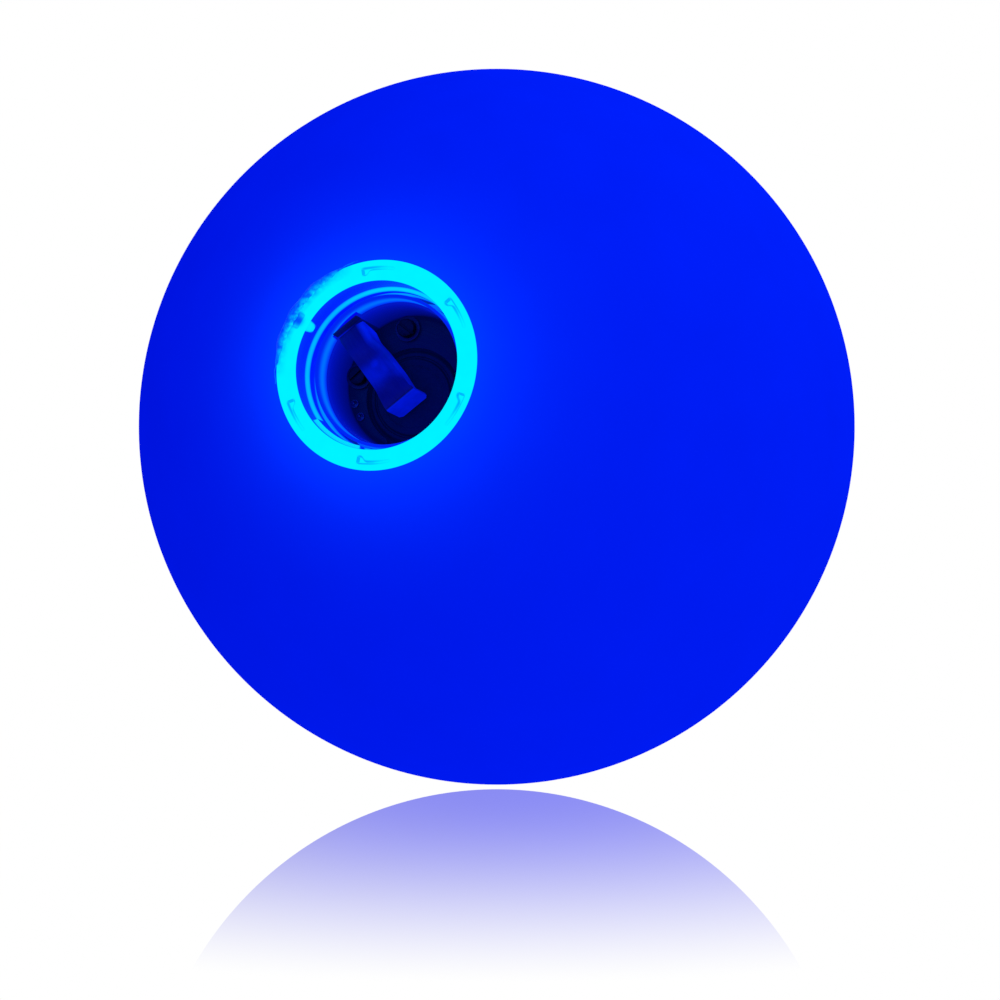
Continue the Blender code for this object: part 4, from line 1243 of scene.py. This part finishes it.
def make_light_unit(board):
    """LED board, LEDs and the frosted dome."""
    extent = Extent("led_board")
    disc = rod_mesh("led_disc", extent.radius, extent.low, extent.high, CENTRE, 0.1 * MM, 128)
    add_piece("led_disc", disc, board, "led_board")
    leds = [f"led_{number}" for number in (1, 2, 3, 4)]
    led = led_look()
    for name in leds:
        make_led(name, led)
    outer = Extent("diffuser_dome").radius
    inside = round_end(outer - DOME_WALL, level(DOME_DEPTH), 36)[::-1]
    dome = turned("frosted_dome", inside + round_end(outer, level(DOME_DEPTH), 36), 144)
    add_piece("frosted_dome", dome, dome_look([Extent(name) for name in leds]), "diffuser_dome")


def finish_hidden_node(name, look):
    """A small CAD part between the boards or under the dome keeps its shape and gets a real finish."""
    item = nodes[name]
    for slot in item.material_slots:
        slot.material = look
    if not item.material_slots:
        item.data.materials.append(look)


def make_object():
    board = board_look()
    cell = metal("cell_steel")
    cell.glow(*BAY_GLOW)
    screw, washer, solder, wire = [
        metal(name).material for name in ("blackened_steel", "zinc_washer", "bright_solder", "spring_wire")
    ]
    insulation = {
        "positive": insulation_look("red_insulation", (0.3, 0.008, 0.01), (0.5, 0.02, 0.02)),
        "negative": insulation_look("black_insulation", (0.012, 0.012, 0.016), (0.03, 0.03, 0.036)),
    }
    make_ball()
    make_sleeve()
    make_glue()
    make_collar()
    make_cup(cup_look())
    make_board(board)
    make_clip(clip_look())
    make_cells(cell.material)
    for hand in SCREW_HANDS:
        make_screw(hand, screw)
        make_washer(hand, washer)
    for pole in POLES:
        make_solder(pole, solder)
        make_lead(pole, insulation[pole])
    make_light_unit(board)
    finish_hidden_node("contact_spring", wire)
    finish_hidden_node("impact_spring", wire)
    finish_hidden_node("impact_post", solder)
    finish_hidden_node("driver_chip", black_plastic("black_moulded_plastic").material)
    finish_hidden_node("resistor", resistor_look())


# ---- Stage ----


def floor_look():
    """White floor that mirrors what stands on it, less and less with distance."""
    material = bpy.data.materials.new("studio_floor")
    material.use_nodes = True
    material.node_tree.nodes.clear()
    graph = Graph(material.node_tree)
    part = graph.math("DIVIDE", graph.vector("LENGTH", graph.add("TexCoord")["Object"]), MIRROR_REACH)
    left = graph.math("SUBTRACT", 1.0, graph.product(part, part), clamp=True)
    share = graph.product(graph.math("POWER", left, MIRROR_FALL), MIRROR_SHARE)
    bright = graph.math("MAXIMUM", graph.add("LightPath")["Is Camera Ray"], FLOOR_HIDDEN_LIGHT)
    white = graph.add("Emission", (*WHITE, 1.0), bright)[0]
    no_roughness = 0.0
    mirror = graph.add("BsdfGlossy", (*WHITE, 1.0), no_roughness)[0]
    graph.add("OutputMaterial", graph.add("MixShader", share, white, mirror)[0])
    return material


def make_floor():
    bm = bmesh.new()
    bmesh.ops.create_grid(bm, x_segments=8, y_segments=8, size=FLOOR_SIZE / 2)
    floor = new_object("studio_floor", finish_mesh("studio_floor", bm))
    floor.location.z = cad_box[0].z - FLOOR_GAP
    floor.data.materials.append(floor_look())


def make_world():
    """White behind the object and in the floor's mirror, and a dark blue room on the camera's side."""
    world = bpy.data.worlds.new("studio")
    bpy.context.scene.world = world
    world.use_nodes = True
    graph = Graph(world.node_tree)
    path = graph.add("LightPath")
    forward = graph.add("SeparateXYZ", graph.add("TexCoord")["Camera"])["Z"]
    ahead = graph.remap(forward, -0.1, 0.35, interpolation_type="SMOOTHSTEP")
    white = graph.math("MAXIMUM", path["Is Camera Ray"], graph.product(path["Is Glossy Ray"], ahead))
    background = graph.tree.nodes["Background"].inputs
    graph.feed(background["Color"], graph.blend(white, ROOM_COLOUR, WHITE))
    graph.feed(background["Strength"], 1.0)


def add_softbox(name, place, size, power):
    light = bpy.data.lights.new(name, "AREA")
    light.size = size
    light.energy = power
    holder = new_object(name, light)
    holder.location = place
    holder.rotation_euler = (-Vector(place)).to_track_quat("-Z", "Y").to_euler()
    holder.visible_glossy = False


def make_camera():
    back = polar(cos(CAMERA_ELEVATION), CAMERA_AZIMUTH - QUARTER, sin(CAMERA_ELEVATION))
    data = bpy.data.cameras.new("camera")
    data.sensor_width = 36
    data.lens = CAMERA_LENS
    data.shift_x, data.shift_y = CAMERA_SHIFT
    data.clip_start = 0.01
    camera = new_object("camera", data)
    turn = back.to_track_quat("Z", "Y").to_matrix().to_4x4()
    camera.matrix_world = Matrix.Translation(back * CAMERA_DISTANCE) @ turn
    bpy.context.scene.camera = camera


def make_stage():
    make_floor()
    make_world()
    for name, settings in SOFTBOXES.items():
        add_softbox(name, *settings)
    make_camera()
    bpy.context.scene.view_settings.view_transform = "Standard"
    bpy.context.scene.cycles.use_denoising = True


make_object()
make_stage()
